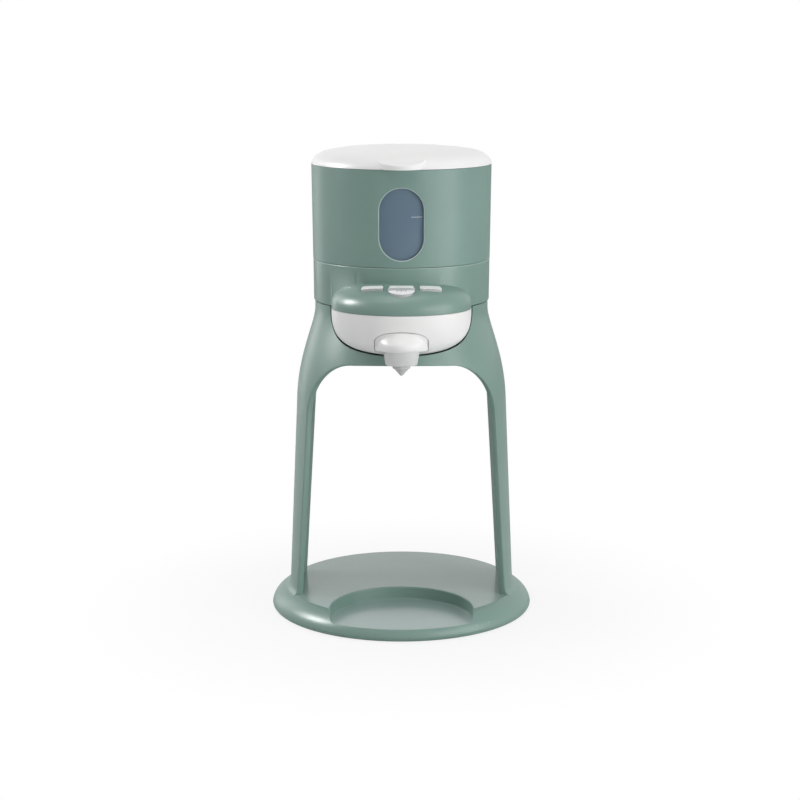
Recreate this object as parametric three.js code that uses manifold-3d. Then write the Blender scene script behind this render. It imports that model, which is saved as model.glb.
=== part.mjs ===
// Baby formula maker: a round base with a bottle recess, a bell-shaped stand on two legs, a body with a
// heater and a pump, a lift-off water tank, and a head with a powder drawer that drips into a bottle.
// Millimetres, +Z up, front towards -Y. The origin is the centre of the footprint, at table height.
import * as THREE from 'three';
import { mergeVertices } from 'three/addons/utils/BufferGeometryUtils.js';
import Module from 'manifold-3d';

// Fits shared by all pieces
const seatGap = 0.3;
const slideGap = 0.5;
const overrun = 4;

// Counts of facets
const roundSteps = 28;
const mediumSteps = 20;
const fittingSteps = 12;
const smallSteps = 8;
const screwSteps = 6;
const hoseSides = 8;
const hingeSteps = 16;
const curveSteps = 5;
const roughSteps = 3;

// Base
const baseRadius = 103;
const footHeight = 1;
const rimInset = 7;
const rimTuck = 1;
const rimWidestHeight = 4.5;
const rimShoulderInset = 1.5;
const rimShoulderHeight = 13.2;
const plateauHeight = 17.8;
const rimWidth = 13.2;
const baseWall = 2.6;
const seatRadius = 55;
const seatSetback = 69;
const seatFloorHeight = 8.5;
const seatLipWidth = 2;
const seatCornerRadius = 4;
const coverThickness = 2;
const footRadius = 7;
const footEdge = 5.5;
const footPocketDepth = 0.8;
const coverBossEdge = 18.1;
const coverBossAngle = 37;

// Screws
const screwRadius = 1.25;
const screwHeadRadius = 2.6;
const screwHeadHeight = 1.5;
const screwLength = 9;
const screwHoleGap = 0.15;
const bossRadius = 4;

// Stand
const standTop = 247.85;
const collarRadius = 67.1;
const collarWall = 3.2;
const collarHeight = 5.85;
const shoulderLead = 12.7;
const shoulderReach = 34;
const shoulderDrift = 1.5;
const shoulderHeight = 70;
const legLean = 6.4;
const legInset = 1.5;
const legWall = 4.4;
const footFlareHeight = 9.5;
const footFlange = 4.7;
const footPocket = 2.6;

// Arch openings: half angles about the stand's axis, in degrees, and drops below the crown
const archFootAngle = 66.8;
const archSpringAngle = 61.7;
const archSpringDrop = 44.3;
const archBendAngle = 60.6;
const archBendDrop = 23.3;
const archShoulderAngle = 46;
const archShoulderDrop = 1.3;
const archCrownAngle = 28;
const archCrownBendAngle = 16;
const archCrownClearance = 1.2;
const archFanRadii = [20, 62, 68, 74, 81, 88, 97, 260];

// Body
const seamGap = 0.3;
const bandHeight = 31.7;
const bandRadius = 68;
const bandTopRadius = 68.3;
const bandWall = 2.4;
const bandChamfer = 0.7;
const deckDepth = 5.4;
const deckThickness = 2.4;
const skirtDepth = 7.5;
const skirtWall = 1.8;

// Head
const headCentre = 50.7;
const headHalfWidth = 52.8;
const headReach = 44.7;
const headBack = 34;
const coverRise = 20.3;
const coverFullness = 2.8;
const headWall = 2.2;
const bowlDepth = 34;
const bowlFullness = 3;
const collarOpeningGap = 1.2;
const hoseNotchHalf = 7;
const hoseNotchDepth = 8;

// Buttons
const buttonBack = 73;
const buttonFront = 80.8;
const sideButtonFront = 82.6;
const sideButtonInner = 13.4;
const sideButtonOuter = 30.2;
const sideButtonSlant = 1.2;
const centreButtonHalf = 9;
const crescentHalf = 10;
const crescentReach = 8.8;
const buttonCorner = 2.2;
const buttonSplit = 0.6;
const buttonProud = 0.5;
const buttonDepth = 3.7;
const flangeWidth = 1;
const flangeThickness = 1.2;
const buttonTravel = 0.8;
const stemRadius = 1.6;
const lensRadius = 0.7;
const lensDepth = 1.2;
const lensPitch = 3.2;
const lensSetback = 2.6;

// Control board and its switches
const boardHeight = 2.4;
const boardInset = 7.2;
const boardThickness = 1.6;
const postRadius = 2.4;
const sidePostX = 36;
const sidePostY = 56;
const middlePostY = 66.2;
const switchHalf = 2.6;
const switchHeight = 2;
const plungerHeight = 0.5;

// Tank, sleeve and window
const tankHeight = 72.2;
const sleeveRadius = 68.4;
const sleeveTopRadius = 69.3;
const sleeveWall = 2.2;
const windowHalfWidth = 16.5;
const windowBottom = 5.2;
const windowTop = 58.8;
const tankWall = 1.8;
const tankStepWidth = 3.9;
const tankBaseCorner = 2;
const tankStep = 3;
const stubRadius = 8;
const stubBore = 5.6;
const stubLength = 10;
const valveWebDrop = 5;
const valveWebThickness = 1.8;
const valveHole = 3;
const poppetRadius = 4.6;
const poppetThickness = 1.8;
const poppetStem = 1.3;
const poppetLift = 2.5;
const capSeat = 1.2;
const sealTube = 0.75;
const sealSpread = 0.25;
const sealRise = 3.2;
const springRadius = 3.4;
const springWire = 0.35;
const springTurns = 4;
const springSides = 5;
const valveCapHeight = 6.6;
const valveCapWall = 1.2;
const valveCapSlot = 3;
const stemClearance = 1.8;

// Inlet socket
const socketRadius = 12;
const socketBore = 9.4;
const socketFloor = 2;
const socketFlange = 16;
const socketFlangeThickness = 2;
const socketClearance = 1.2;
const socketSump = 3.6;
const pinRadius = 1.1;
const pinHeight = 4;
const pinRib = 1.2;
const barbRadius = 2.4;
const barbLength = 7;
const barbBore = 1.5;

// Lid
const lidRise = 13.2;
const lidOverhang = 0.1;
const lidEdgeInset = 0.9;
const lidEdgeRise = 6;
const lidCrownInset = 9.4;
const lidCrownRise = 9.2;
const lidBendInset = 25.4;
const lidWall = 2.2;
const lipRadius = 18.75;
const lipInset = 12.65;
const lipFrontRise = 3.4;
const lipBackRise = 8.6;
const lidSkirtGap = 1.8;
const lidSkirtWall = 2.4;
const lidSkirtDepth = 6.5;
const lidSkirtRise = 6.8;
const lidGroove = 0.8;
const lidSealHeight = 2.4;
const lidSealWidth = 1.65;
const lidSealLift = 1;
const hingeOffset = 3.9;
const hingeRise = 0.9;
const hingeRadius = 3.2;
const hingePinRadius = 1.3;
const hingeHalfWidth = 8;
const hingeArmWidth = 7.5;
const hingePinCover = 0.9;
const hingeBracketDepth = 9;
const hingeArmThickness = 3.4;

// Drawer
const tabHalfWidth = 19.5;
const tabShoulderDrop = 19.85;
const tabTopDrop = 12.45;
const tabCornerReach = 12;
const tabCornerLift = 5;
const notchSetback = 78;
const lipDiscRadius = 23.6;
const lipDiscCentre = 77.2;
const lipDrop = 26.85;
const lipEdgeRise = 1.2;
const lipThickness = 3.6;
const lipHollowRise = 6.2;
const lipHollowInset = 3.1;
const lipUpperInset = 5.4;
const lipTopInset = 6.4;
const channelHalfWidth = 17.3;
const channelBack = 38;
const channelBottomDrop = 26.35;
const channelTopDrop = 16.65;
const channelWall = 1.6;
const channelFront = 90.5;
const railOffset = 14.5;
const railWidth = 2.4;
const shroudCentre = 87;
const shroudTopHalf = 12.9;
const shroudBottomHalf = 11.4;
const shroudDepthShare = 0.64;
const shroudDrop = 37.65;
const shroudWall = 1.6;
const throatRadius = 4.6;
const funnelSpread = 3.4;
const funnelDepth = 3.6;
const nozzleHole = 5.2;
const nozzleRadius = 6.6;
const nozzleSkirt = 1.7;
const nozzleLength = 7.4;
const nozzleTip = 0.9;
const nozzleOutlet = 0.5;
const nozzleTipWall = 1.3;
const nozzleFlange = 5.6;
const nozzleFlangeHeight = 1.2;
const nozzleNeck = 4.9;
const nozzleBore = 3.2;
const basketTopDrop = 17.05;
const basketWall = 1.2;
const basketFootHeight = 2;
const basketSlotWidth = 1.4;
const basketSlotPitch = 4.4;
const basketSlotEdge = 3.4;
const basketSlotCount = 10;

// Water outlet over the drawer
const outletCentre = 66;
const outletRadius = 11;
const outletDrop = 11.85;
const outletThickness = 5;
const outletBossRadius = 5;
const outletBossHeight = 7;
const outletBarbLift = 4.2;
const outletHoleRadius = 0.8;
const outletHoleRing = 6;
const outletHoleCount = 6;
const outletWall = 1.2;
const wingHalf = 27;
const wingWidth = 6;
const wingThickness = 1.6;
const outletPostX = 24;
const outletPostY = 60;
const outletPostRadius = 2.6;

// Inside the collar
const floorDrop = 39.35;
const floorThickness = 2.5;
const floorRibHeight = 3;
const floorRibWall = 1.5;
const boardSlotHalf = 3;
const boardSlotHeight = 9;
const chassisBossInset = 5.7;
const chassisBossAngle = 20;
const chassisBossHeight = 11;
const pumpX = 34;
const pumpY = 8;
const pumpRadius = 15;
const pumpHeight = 28;
const pumpNeck = 11;
const pumpShoulder = 5;
const pumpBarbHeight = 14.5;
const heaterX = 30;
const heaterY = 12;
const heaterWidth = 36;
const heaterDepth = 25;
const heaterHeight = 35;
const heaterFin = 1.6;
const heaterFinDepth = 1.6;
const heaterFinCount = 5;
const heaterBarbX = 22;
const heaterBarbHeight = 24;
const powerBoardY = 46;
const powerBoardHalf = 28;
const powerBoardHeight = 31;
const powerPartDepth = 11;
const powerPartWidth = 18;
const powerPartHeight = 16;
const powerPartLift = 3;
const capacitorRadius = 5;
const hoseRadius = 3.8;
const hoseBore = 2.8;
const hoseInletDrop = 22;
const hoseInletShift = 3;
const hoseLoopTop = 17;
const hoseLoopX = 22;
const hoseLoopY = 24;
const hoseStraight = 4;
const hoseStep = 7;
const hoseFrontX = 13;
const hoseFrontY = 19;
const glandDrop = 9.85;
const glandNeck = 5.2;
const glandBore = 3.4;
const glandFlange = 7.4;
const glandFlangeThickness = 1.8;
const glandChamfer = 0.6;
const glandPad = 1.4;

// Sizes that follow from the ones above
const plateauRadius = baseRadius - rimWidth;
const rimShoulderRadius = baseRadius - rimShoulderInset;
const coverRadius = baseRadius - rimInset - baseWall - seatGap;
const footSpread = (coverRadius - footEdge - footRadius) * Math.SQRT1_2;
const legFootRadius = plateauRadius - legInset;
const legTopRadius = legFootRadius - legLean;
const footFlangeRadius = legFootRadius + footFlange;
const shoulderTop = standTop - collarHeight;
const legTopHeight = shoulderTop - shoulderHeight;
const floorBottom = standTop - floorDrop;
const archCrownHeight = floorBottom - archCrownClearance;
const archShoulderHeight = archCrownHeight - archShoulderDrop;
const archBendHeight = archCrownHeight - archBendDrop;
const archSpringHeight = archCrownHeight - archSpringDrop;
const tankBaseRadius = sleeveRadius - sleeveWall - seatGap - tankStepWidth;
const lidRadius = sleeveTopRadius + lidOverhang;
const lidEdgeRadius = lidRadius - lidEdgeInset;
const lidCrownRadius = lidRadius - lidCrownInset;
const lidCrownBend = lidRadius - lidBendInset;
const lipCentre = lidRadius - lipInset;
const lidSkirtRadius = sleeveTopRadius - sleeveWall - seatGap - tankWall - lidSkirtGap;
const hingeSetback = sleeveTopRadius + hingeOffset;
const tabShoulderHeight = standTop - tabShoulderDrop;
const tabTop = standTop - tabTopDrop;
const lipBottom = standTop - lipDrop;
const channelBottom = standTop - channelBottomDrop;
const channelTop = standTop - channelTopDrop;
const shroudBottom = standTop - shroudDrop;
const basketTop = standTop - basketTopDrop;
const outletBottom = standTop - outletDrop;
const glandHeight = standTop - glandDrop;
const bandBottom = standTop + seamGap;
const bandTop = bandBottom + bandHeight;
const tankBottom = bandTop + seamGap;
const tankTop = tankBottom + tankHeight;
const lidBottom = tankTop + seamGap;
const deckTop = bandTop - deckDepth;
const cupBottom = deckTop + seatGap;
const stubBottom = cupBottom - stubLength;
const coverBottom = footHeight + seatGap;
const floorTop = floorBottom + floorThickness;
const insideFloor = floorTop + seatGap;
const boardBottom = bandBottom + boardHeight;
const boardTop = boardBottom + boardThickness;

// Materials
function plastic(color, roughness) {
  return new THREE.MeshStandardMaterial({ color, roughness, metalness: 0 });
}
const sage = plastic(0x7d9a8e, 0.42);
const white = plastic(0xf0f0ee, 0.35);
const smoke = plastic(0x6d7f8f, 0.15);
const rubber = plastic(0x3a3d3e, 0.8);
const silicone = plastic(0xb9bcbd, 0.5);
const darkPlastic = plastic(0x2f3335, 0.6);
const boardGreen = plastic(0x1f5a3a, 0.5);
const lensGlow = plastic(0xdfe6e2, 0.25);
const steel = new THREE.MeshStandardMaterial({ color: 0xb8babc, roughness: 0.3, metalness: 1 });
const aluminium = new THREE.MeshStandardMaterial({ color: 0xa9adb0, roughness: 0.45, metalness: 1 });

// Solids: a closed mesh becomes a manifold, whose faces point outwards
const wasm = await Module();
wasm.setup();

function signedVolume(positions, triangles) {
  const [a, b, c] = [new THREE.Vector3(), new THREE.Vector3(), new THREE.Vector3()];
  let sum = 0;
  for (let i = 0; i < triangles.length; i += 3) {
    a.fromArray(positions, triangles[i] * 3);
    b.fromArray(positions, triangles[i + 1] * 3);
    c.fromArray(positions, triangles[i + 2] * 3);
    sum += a.dot(b.cross(c));
  }
  return sum / 6;
}

function asSolid(geometry) {
  const bare = geometry.clone();
  bare.deleteAttribute('normal');
  bare.deleteAttribute('uv');
  const merged = mergeVertices(bare);
  const positions = merged.attributes.position.array;
  const triangles = [];
  for (let i = 0; i < merged.index.count; i += 3) {
    const [a, b, c] = merged.index.array.slice(i, i + 3);
    if (a !== b && b !== c && c !== a) triangles.push(a, b, c);
  }
  if (signedVolume(positions, triangles) < 0) triangles.reverse();
  const mesh = new wasm.Mesh({
    numProp: 3,
    vertProperties: new Float32Array(positions),
    triVerts: new Uint32Array(triangles),
  });
  return new wasm.Manifold(mesh);
}

function asGeometry(solid) {
  const mesh = solid.getMesh();
  const geometry = new THREE.BufferGeometry();
  geometry.setAttribute('position', new THREE.BufferAttribute(mesh.vertProperties, 3));
  geometry.setIndex(new THREE.BufferAttribute(mesh.triVerts, 1));
  geometry.computeVertexNormals();
  return geometry;
}

function joined(solids) {
  return solids.reduce((sum, solid) => sum.add(solid));
}

// Forms
function revolve(points, steps = roundSteps) {
  const profile = points.map(([radius, height]) => new THREE.Vector2(radius, height));
  return asSolid(new THREE.LatheGeometry(profile, steps).rotateX(Math.PI / 2));
}

// A closed ring profile: the last point joins the first
function revolveRing(points, steps = roundSteps) {
  return revolve([...points, points[0]], steps);
}

function cylinder(radius, bottom, top, x, y, steps = smallSteps, topRadius = radius) {
  const geometry = new THREE.CylinderGeometry(topRadius, radius, top - bottom, steps);
  geometry.rotateX(Math.PI / 2).translate(x, y, (top + bottom) / 2);
  return asSolid(geometry);
}

// A rod between two points, which may taper towards its end
function rod(radius, from, to, steps = smallSteps, endRadius = radius) {
  const run = new THREE.Vector3(...to).sub(new THREE.Vector3(...from));
  const geometry = new THREE.CylinderGeometry(endRadius, radius, run.length(), steps);
  geometry.translate(0, run.length() / 2, 0);
  const turn = new THREE.Quaternion().setFromUnitVectors(new THREE.Vector3(0, 1, 0), run.normalize());
  return asSolid(geometry.applyQuaternion(turn).translate(...from));
}

function box(x0, x1, y0, y1, z0, z1) {
  const geometry = new THREE.BoxGeometry(x1 - x0, y1 - y0, z1 - z0);
  geometry.translate((x0 + x1) / 2, (y0 + y1) / 2, (z0 + z1) / 2);
  return asSolid(geometry);
}

// A plan outline raised from one height to another
function upright(shape, bottom, top, steps = roughSteps) {
  const options = { depth: top - bottom, bevelEnabled: false, curveSegments: steps };
  return asSolid(new THREE.ExtrudeGeometry(shape, options).translate(0, 0, bottom));
}

// A front outline in x and z, carried from the front y to the back y
function frontToBack(shape, front, back) {
  const options = { depth: back - front, bevelEnabled: false, curveSegments: curveSteps };
  const geometry = new THREE.ExtrudeGeometry(shape, options);
  geometry.rotateX(Math.PI / 2).translate(0, back, 0);
  return asSolid(geometry);
}

function roundedRect(x0, x1, y0, y1, radius) {
  const shape = new THREE.Shape();
  shape.absarc(x1 - radius, y0 + radius, radius, -Math.PI / 2, 0);
  shape.absarc(x1 - radius, y1 - radius, radius, 0, Math.PI / 2);
  shape.absarc(x0 + radius, y1 - radius, radius, Math.PI / 2, Math.PI);
  shape.absarc(x0 + radius, y0 + radius, radius, Math.PI, Math.PI * 1.5);
  return shape;
}

function bezier(points, steps = curveSteps) {
  const corners = points.map(([x, y]) => new THREE.Vector2(x, y));
  const Curve = corners.length === 3 ? THREE.QuadraticBezierCurve : THREE.CubicBezierCurve;
  return new Curve(...corners).getPoints(steps).map((point) => [point.x, point.y]);
}

// Screws point up: the head is at the bottom
function screw(x, y, headBottom, length = screwLength) {
  const headTop = headBottom + screwHeadHeight;
  return revolve([
    [0, headBottom],
    [screwHeadRadius, headBottom],
    [screwHeadRadius, headTop],
    [screwRadius, headTop],
    [screwRadius, headTop + length],
    [0, headTop + length],
  ], screwSteps).translate([x, y, 0]);
}

function screwHole(x, y, bottom, top) {
  return cylinder(screwRadius + screwHoleGap, bottom, top, x, y, screwSteps);
}

const part = new THREE.Group();

function addPiece(name, solid, material) {
  const mesh = new THREE.Mesh(asGeometry(solid), material);
  mesh.name = name;
  part.add(mesh);
}

// The same piece at several places, numbered from one
function addEach(name, places, make, material) {
  places.forEach((place, i) => addPiece(`${name}_${i + 1}`, make(place), material));
}

// Base: rim, plateau and bottle recess over a hollow underside
function rimOutline() {
  const low = bezier([
    [baseRadius - rimInset, footHeight],
    [baseRadius - rimTuck, footHeight],
    [baseRadius, rimWidestHeight],
  ], roughSteps);
  const high = bezier([
    [baseRadius, rimWidestHeight],
    [rimShoulderRadius, rimShoulderHeight],
    [plateauRadius, plateauHeight],
  ]);
  return [...low, ...high.slice(1)];
}

function heightOn(outline, radius) {
  for (let i = outline.length - 1; i > 0; i -= 1) {
    const [outer, high] = [outline[i - 1], outline[i]];
    if (outer[0] >= radius && high[0] <= radius) {
      const share = (outer[0] - radius) / (outer[0] - high[0]);
      return outer[1] + (high[1] - outer[1]) * share;
    }
  }
  return plateauHeight;
}

function arcPoints(x, y, radius, from, to, steps) {
  const curve = new THREE.EllipseCurve(x, y, radius, radius, from, to);
  return curve.getPoints(steps);
}

// Two arcs, the bottle's circle and the lip's, with their corners rounded
function seatOutline(grow) {
  const round = seatCornerRadius;
  const inner = seatRadius - round;
  const lip = baseRadius - seatLipWidth - round;
  const meetY = (inner ** 2 - lip ** 2 - seatSetback ** 2) / (2 * seatSetback);
  const meetX = Math.sqrt(lip ** 2 - meetY ** 2);
  const lipAngle = Math.atan2(meetY, meetX);
  const seatAngle = Math.atan2(meetY + seatSetback, meetX);
  return new THREE.Shape([
    ...arcPoints(0, -seatSetback, seatRadius + grow, seatAngle, Math.PI - seatAngle, fittingSteps),
    ...arcPoints(-meetX, meetY, round + grow, Math.PI - seatAngle, Math.PI - lipAngle, roughSteps),
    ...arcPoints(0, 0, lip + round + grow, Math.PI - lipAngle, Math.PI * 2 + lipAngle, fittingSteps),
    ...arcPoints(meetX, meetY, round + grow, lipAngle, seatAngle, roughSteps),
  ]);
}

const quarters = [[1, 1], [1, -1], [-1, 1], [-1, -1]];
const coverBossRing = coverRadius - coverBossEdge;
const coverBossTurn = THREE.MathUtils.degToRad(coverBossAngle);
const coverScrewPlaces = quarters.map(([x, y]) => {
  return [x * coverBossRing * Math.cos(coverBossTurn), y * coverBossRing * Math.sin(coverBossTurn)];
});
const legHalfAngle = Math.PI / 2 - THREE.MathUtils.degToRad(archFootAngle);
const legScrewAngles = [-legHalfAngle / 2, legHalfAngle / 2];
const legScrewRing = legFootRadius - legWall / 2;
const legScrewPlaces = [0, Math.PI].flatMap((side) => legScrewAngles.map((turn) => {
  return [legScrewRing * Math.cos(side + turn), legScrewRing * Math.sin(side + turn)];
}));
const footBottom = plateauHeight - footPocket + seatGap;
const legScrewHead = plateauHeight - footPocket - baseWall - seatGap - screwHeadHeight;
const coverScrewHead = coverBottom - screwHeadHeight / 2;

// A wedge about the axis towards +X and its mirror towards -X, where the legs stand
function legSectors(radius, gap, bottom, top) {
  const half = legHalfAngle + gap / legFootRadius;
  return joined([0, Math.PI].map((side) => {
    const wedge = new THREE.Shape();
    wedge.moveTo(0, 0);
    wedge.absarc(0, 0, radius, side - half, side + half);
    wedge.lineTo(0, 0);
    return upright(wedge, bottom, top);
  }));
}

function baseTray() {
  const outer = rimOutline();
  const hollow = [
    [plateauRadius, plateauHeight - baseWall],
    [rimShoulderRadius - baseWall * 2, rimShoulderHeight - baseWall],
    [baseRadius - baseWall * 1.5, rimWidestHeight + footHeight],
    [baseRadius - rimInset, footHeight + baseWall],
    [baseRadius - rimInset - baseWall, footHeight],
  ];
  const tray = revolve([[0, plateauHeight - baseWall], ...hollow, ...outer, [0, plateauHeight]]);
  const pan = upright(seatOutline(baseWall), seatFloorHeight - baseWall, plateauHeight - baseWall / 2);
  const inRim = revolve([[0, footHeight], ...outer, [0, plateauHeight]]);
  const seat = upright(seatOutline(0), seatFloorHeight, plateauHeight + overrun);
  const bossBottom = coverBottom + coverThickness + seatGap;
  const bosses = coverScrewPlaces.map(([x, y]) => {
    const boss = cylinder(bossRadius, bossBottom, plateauHeight - baseWall / 2, x, y);
    return boss.subtract(screwHole(x, y, bossBottom - overrun, plateauHeight - baseWall));
  });
  const pocketBottom = plateauHeight - footPocket;
  const pocketRing = revolveRing([
    [legFootRadius - legWall - seatGap, pocketBottom],
    [footFlangeRadius + seatGap, pocketBottom],
    [footFlangeRadius + seatGap, plateauHeight + overrun],
    [legFootRadius - legWall - seatGap, plateauHeight + overrun],
  ]);
  const sectors = legSectors(baseRadius, seatGap, pocketBottom - overrun, plateauHeight + overrun);
  const pockets = pocketRing.intersect(sectors);
  const pad = revolveRing([
    [legFootRadius - legWall - baseWall, pocketBottom - baseWall],
    [footFlangeRadius, pocketBottom - baseWall],
    [footFlangeRadius, plateauHeight - baseWall / 2],
    [legFootRadius - legWall - baseWall, plateauHeight - baseWall / 2],
  ]).intersect(legSectors(baseRadius, baseWall, 0, plateauHeight));
  const holes = legScrewPlaces.map(([x, y]) => screwHole(x, y, footHeight, plateauHeight));
  const body = tray.add(pan.intersect(inRim)).add(joined(bosses)).add(pad.intersect(inRim));
  return body.subtract(seat).subtract(pockets).subtract(joined(holes));
}

function baseCover() {
  let plate = cylinder(coverRadius, coverBottom, coverBottom + coverThickness, 0, 0, roundSteps);
  const footPocketTop = coverBottom + footPocketDepth;
  for (const [x, y] of coverScrewPlaces) {
    plate = plate.subtract(screwHole(x, y, 0, coverBottom + coverThickness + overrun));
    plate = plate.subtract(cylinder(screwHeadRadius + seatGap, 0, coverBottom + screwHeadHeight / 2, x, y));
  }
  for (const [x, y] of footPlaces) {
    plate = plate.subtract(cylinder(footRadius + seatGap, 0, footPocketTop, x, y, fittingSteps));
  }
  return plate;
}

const footPlaces = quarters.map(([x, y]) => [x * footSpread, y * footSpread]);
const footTop = coverBottom + footPocketDepth - seatGap;
addPiece('base_tray', baseTray(), sage);
addPiece('base_cover', baseCover(), darkPlastic);
addEach('base_foot', footPlaces, ([x, y]) => cylinder(footRadius, 0, footTop, x, y, fittingSteps), rubber);
addEach('cover_screw', coverScrewPlaces, ([x, y]) => screw(x, y, coverScrewHead), steel);
addEach('leg_screw', legScrewPlaces, ([x, y]) => screw(x, y, legScrewHead), steel);

// Stand: a bell of revolution with an arch cut out of its front and rear
function bellOutline(collar, leg, steps) {
  return bezier([
    [leg, legTopHeight],
    [leg - shoulderDrift, legTopHeight + shoulderReach],
    [collar, shoulderTop - shoulderLead],
    [collar, shoulderTop],
  ], steps);
}

function archOutline() {
  const half = [
    [archFootAngle, footHeight],
    [archFootAngle, plateauHeight],
    ...bezier([
      [archSpringAngle, archSpringHeight],
      [archBendAngle, archBendHeight],
      [archShoulderAngle, archShoulderHeight],
      [archCrownAngle, archShoulderHeight],
    ]),
    ...bezier([
      [archCrownAngle, archShoulderHeight],
      [archCrownBendAngle, archCrownHeight],
      [0, archCrownHeight],
    ], roughSteps).slice(1),
  ];
  const other = half.slice(0, -1).reverse().map(([angle, height]) => [-angle, height]);
  return [...half, ...other].map(([degrees, height]) => {
    return new THREE.Vector2(THREE.MathUtils.degToRad(degrees), height);
  });
}

// The arch's outline carried straight out from the axis, so that the legs' ends stand square to their walls
function archFan() {
  const outline = archOutline();
  const count = outline.length;
  const last = (archFanRadii.length - 1) * count;
  const positions = archFanRadii.flatMap((radius) => {
    return outline.flatMap(({ x, y }) => [radius * Math.sin(x), -radius * Math.cos(x), y]);
  });
  const triangles = [];
  for (const [a, b, c] of THREE.ShapeUtils.triangulateShape(outline, [])) {
    triangles.push(a, b, c, last + c, last + b, last + a);
  }
  const clockwise = THREE.ShapeUtils.isClockWise(outline);
  for (let ring = 0; ring < last; ring += count) {
    for (let i = 0; i < count; i += 1) {
      const next = (i + 1) % count;
      const [a, b, c, d] = [i, next, next + count, i + count].map((index) => index + ring);
      triangles.push(...(clockwise ? [a, b, c, a, c, d] : [c, b, a, d, c, a]));
    }
  }
  const geometry = new THREE.BufferGeometry();
  geometry.setAttribute('position', new THREE.Float32BufferAttribute(positions, 3));
  geometry.setIndex(triangles);
  return geometry;
}

// A round piece along y at the cord's height
function glandRod(backRadius, frontRadius, back, front) {
  return rod(frontRadius, [0, front, glandHeight], [0, back, glandHeight], fittingSteps, backRadius);
}

// How far from the axis an outline of radius and height lies at one height
function radiusOn(outline, height) {
  for (let i = 1; i < outline.length; i += 1) {
    const [low, high] = [outline[i - 1], outline[i]];
    if (low[1] <= height && high[1] >= height) {
      return low[0] + ((high[0] - low[0]) * (height - low[1])) / (high[1] - low[1]);
    }
  }
  return collarRadius;
}

const innerBell = bellOutline(collarRadius - collarWall, legTopRadius - legWall, roughSteps);
const chassisBossRing = radiusOn(innerBell, floorBottom) - chassisBossInset;
const chassisBossPlaces = [chassisBossAngle, 90, 180 - chassisBossAngle].map((degrees) => {
  const angle = THREE.MathUtils.degToRad(degrees);
  return [chassisBossRing * Math.cos(angle), chassisBossRing * Math.sin(angle)];
});

function stand() {
  const innerCollar = collarRadius - collarWall;
  const innerFoot = legFootRadius - legWall;
  const outer = [
    [footFlangeRadius, footBottom],
    ...bezier([
      [footFlangeRadius, heightOn(rimOutline(), footFlangeRadius)],
      [legFootRadius + seatGap, plateauHeight + seatGap],
      [legFootRadius, plateauHeight + footFlareHeight],
    ], roughSteps),
    ...bellOutline(collarRadius, legTopRadius, curveSteps),
    [collarRadius, standTop],
  ];
  const inner = [
    [innerCollar, standTop],
    ...bellOutline(innerCollar, legTopRadius - legWall, roughSteps).reverse(),
    [innerFoot, footBottom],
  ];
  const bell = revolveRing([...outer, ...inner]);
  const outerSolid = revolve([[0, footBottom], ...outer, [0, standTop]]);
  const fan = archFan();
  const bosses = joined(chassisBossPlaces.map(([x, y]) => {
    return cylinder(bossRadius, insideFloor, insideFloor + chassisBossHeight, x, y);
  }));
  const chassisHoleTop = insideFloor + screwLength;
  const chassisHoles = chassisBossPlaces.map(([x, y]) => screwHole(x, y, floorBottom, chassisHoleTop));
  const legHoleTop = legScrewHead + screwHeadHeight + screwLength + seatGap;
  const legHoles = legScrewPlaces.map(([x, y]) => screwHole(x, y, 0, legHoleTop));
  const padFront = collarRadius - collarWall - glandPad;
  const pad = glandRod(glandFlange, glandFlange, collarRadius - collarWall / 2, padFront);
  const neckHole = glandNeck + seatGap;
  const flangeHole = glandFlange + seatGap;
  const gland = glandRod(neckHole, neckHole, collarRadius, collarRadius - collarWall - overrun);
  const glandSeat = glandRod(flangeHole, flangeHole, collarRadius + overrun, collarRadius - seatGap);
  return bell
    .subtract(asSolid(fan))
    .subtract(asSolid(fan.clone().rotateZ(Math.PI)))
    .add(bosses.intersect(outerSolid))
    .add(pad)
    .subtract(headForm(-collarOpeningGap, false, headBack - collarOpeningGap))
    .subtract(joined(chassisHoles))
    .subtract(joined(legHoles))
    .subtract(gland)
    .subtract(glandSeat);
}

// Head: half a superellipsoid in plan, carried straight back into the body
function superellipse(fullness, steps) {
  const points = [];
  for (let i = 0; i <= steps; i += 1) {
    const angle = (i / steps) * (Math.PI / 2);
    points.push([Math.cos(angle) ** (2 / fullness), Math.sin(angle) ** (2 / fullness)]);
  }
  points[0][1] = 0;
  points[steps][0] = 0;
  return points;
}

function headForm(inset, up, back) {
  const hidden = up && inset > 0;
  const section = superellipse(up ? coverFullness : bowlFullness, hidden ? roughSteps : curveSteps);
  const halfWidth = headHalfWidth - inset;
  const rise = up ? coverRise - inset : inset - bowlDepth;
  const rim = up ? bandBottom : standTop;
  const profile = [[0, 0], ...section].map(([radius, height]) => new THREE.Vector2(radius, height));
  const dome = new THREE.LatheGeometry(profile, hidden ? fittingSteps : mediumSteps).rotateX(Math.PI / 2);
  dome.scale(halfWidth, headReach - inset, rise).translate(0, -headCentre, rim);
  const shape = new THREE.Shape();
  section.forEach(([x, z], i) => shape[i ? 'lineTo' : 'moveTo'](x * halfWidth, rim + z * rise));
  section.reverse().forEach(([x, z]) => shape.lineTo(-x * halfWidth, rim + z * rise));
  const tail = frontToBack(shape, -headCentre, -back);
  const far = headHalfWidth + headReach;
  const front = box(-far, far, -headCentre - far, -headCentre, rim - far, rim + far);
  return asSolid(dome).intersect(front).add(tail);
}

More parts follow.
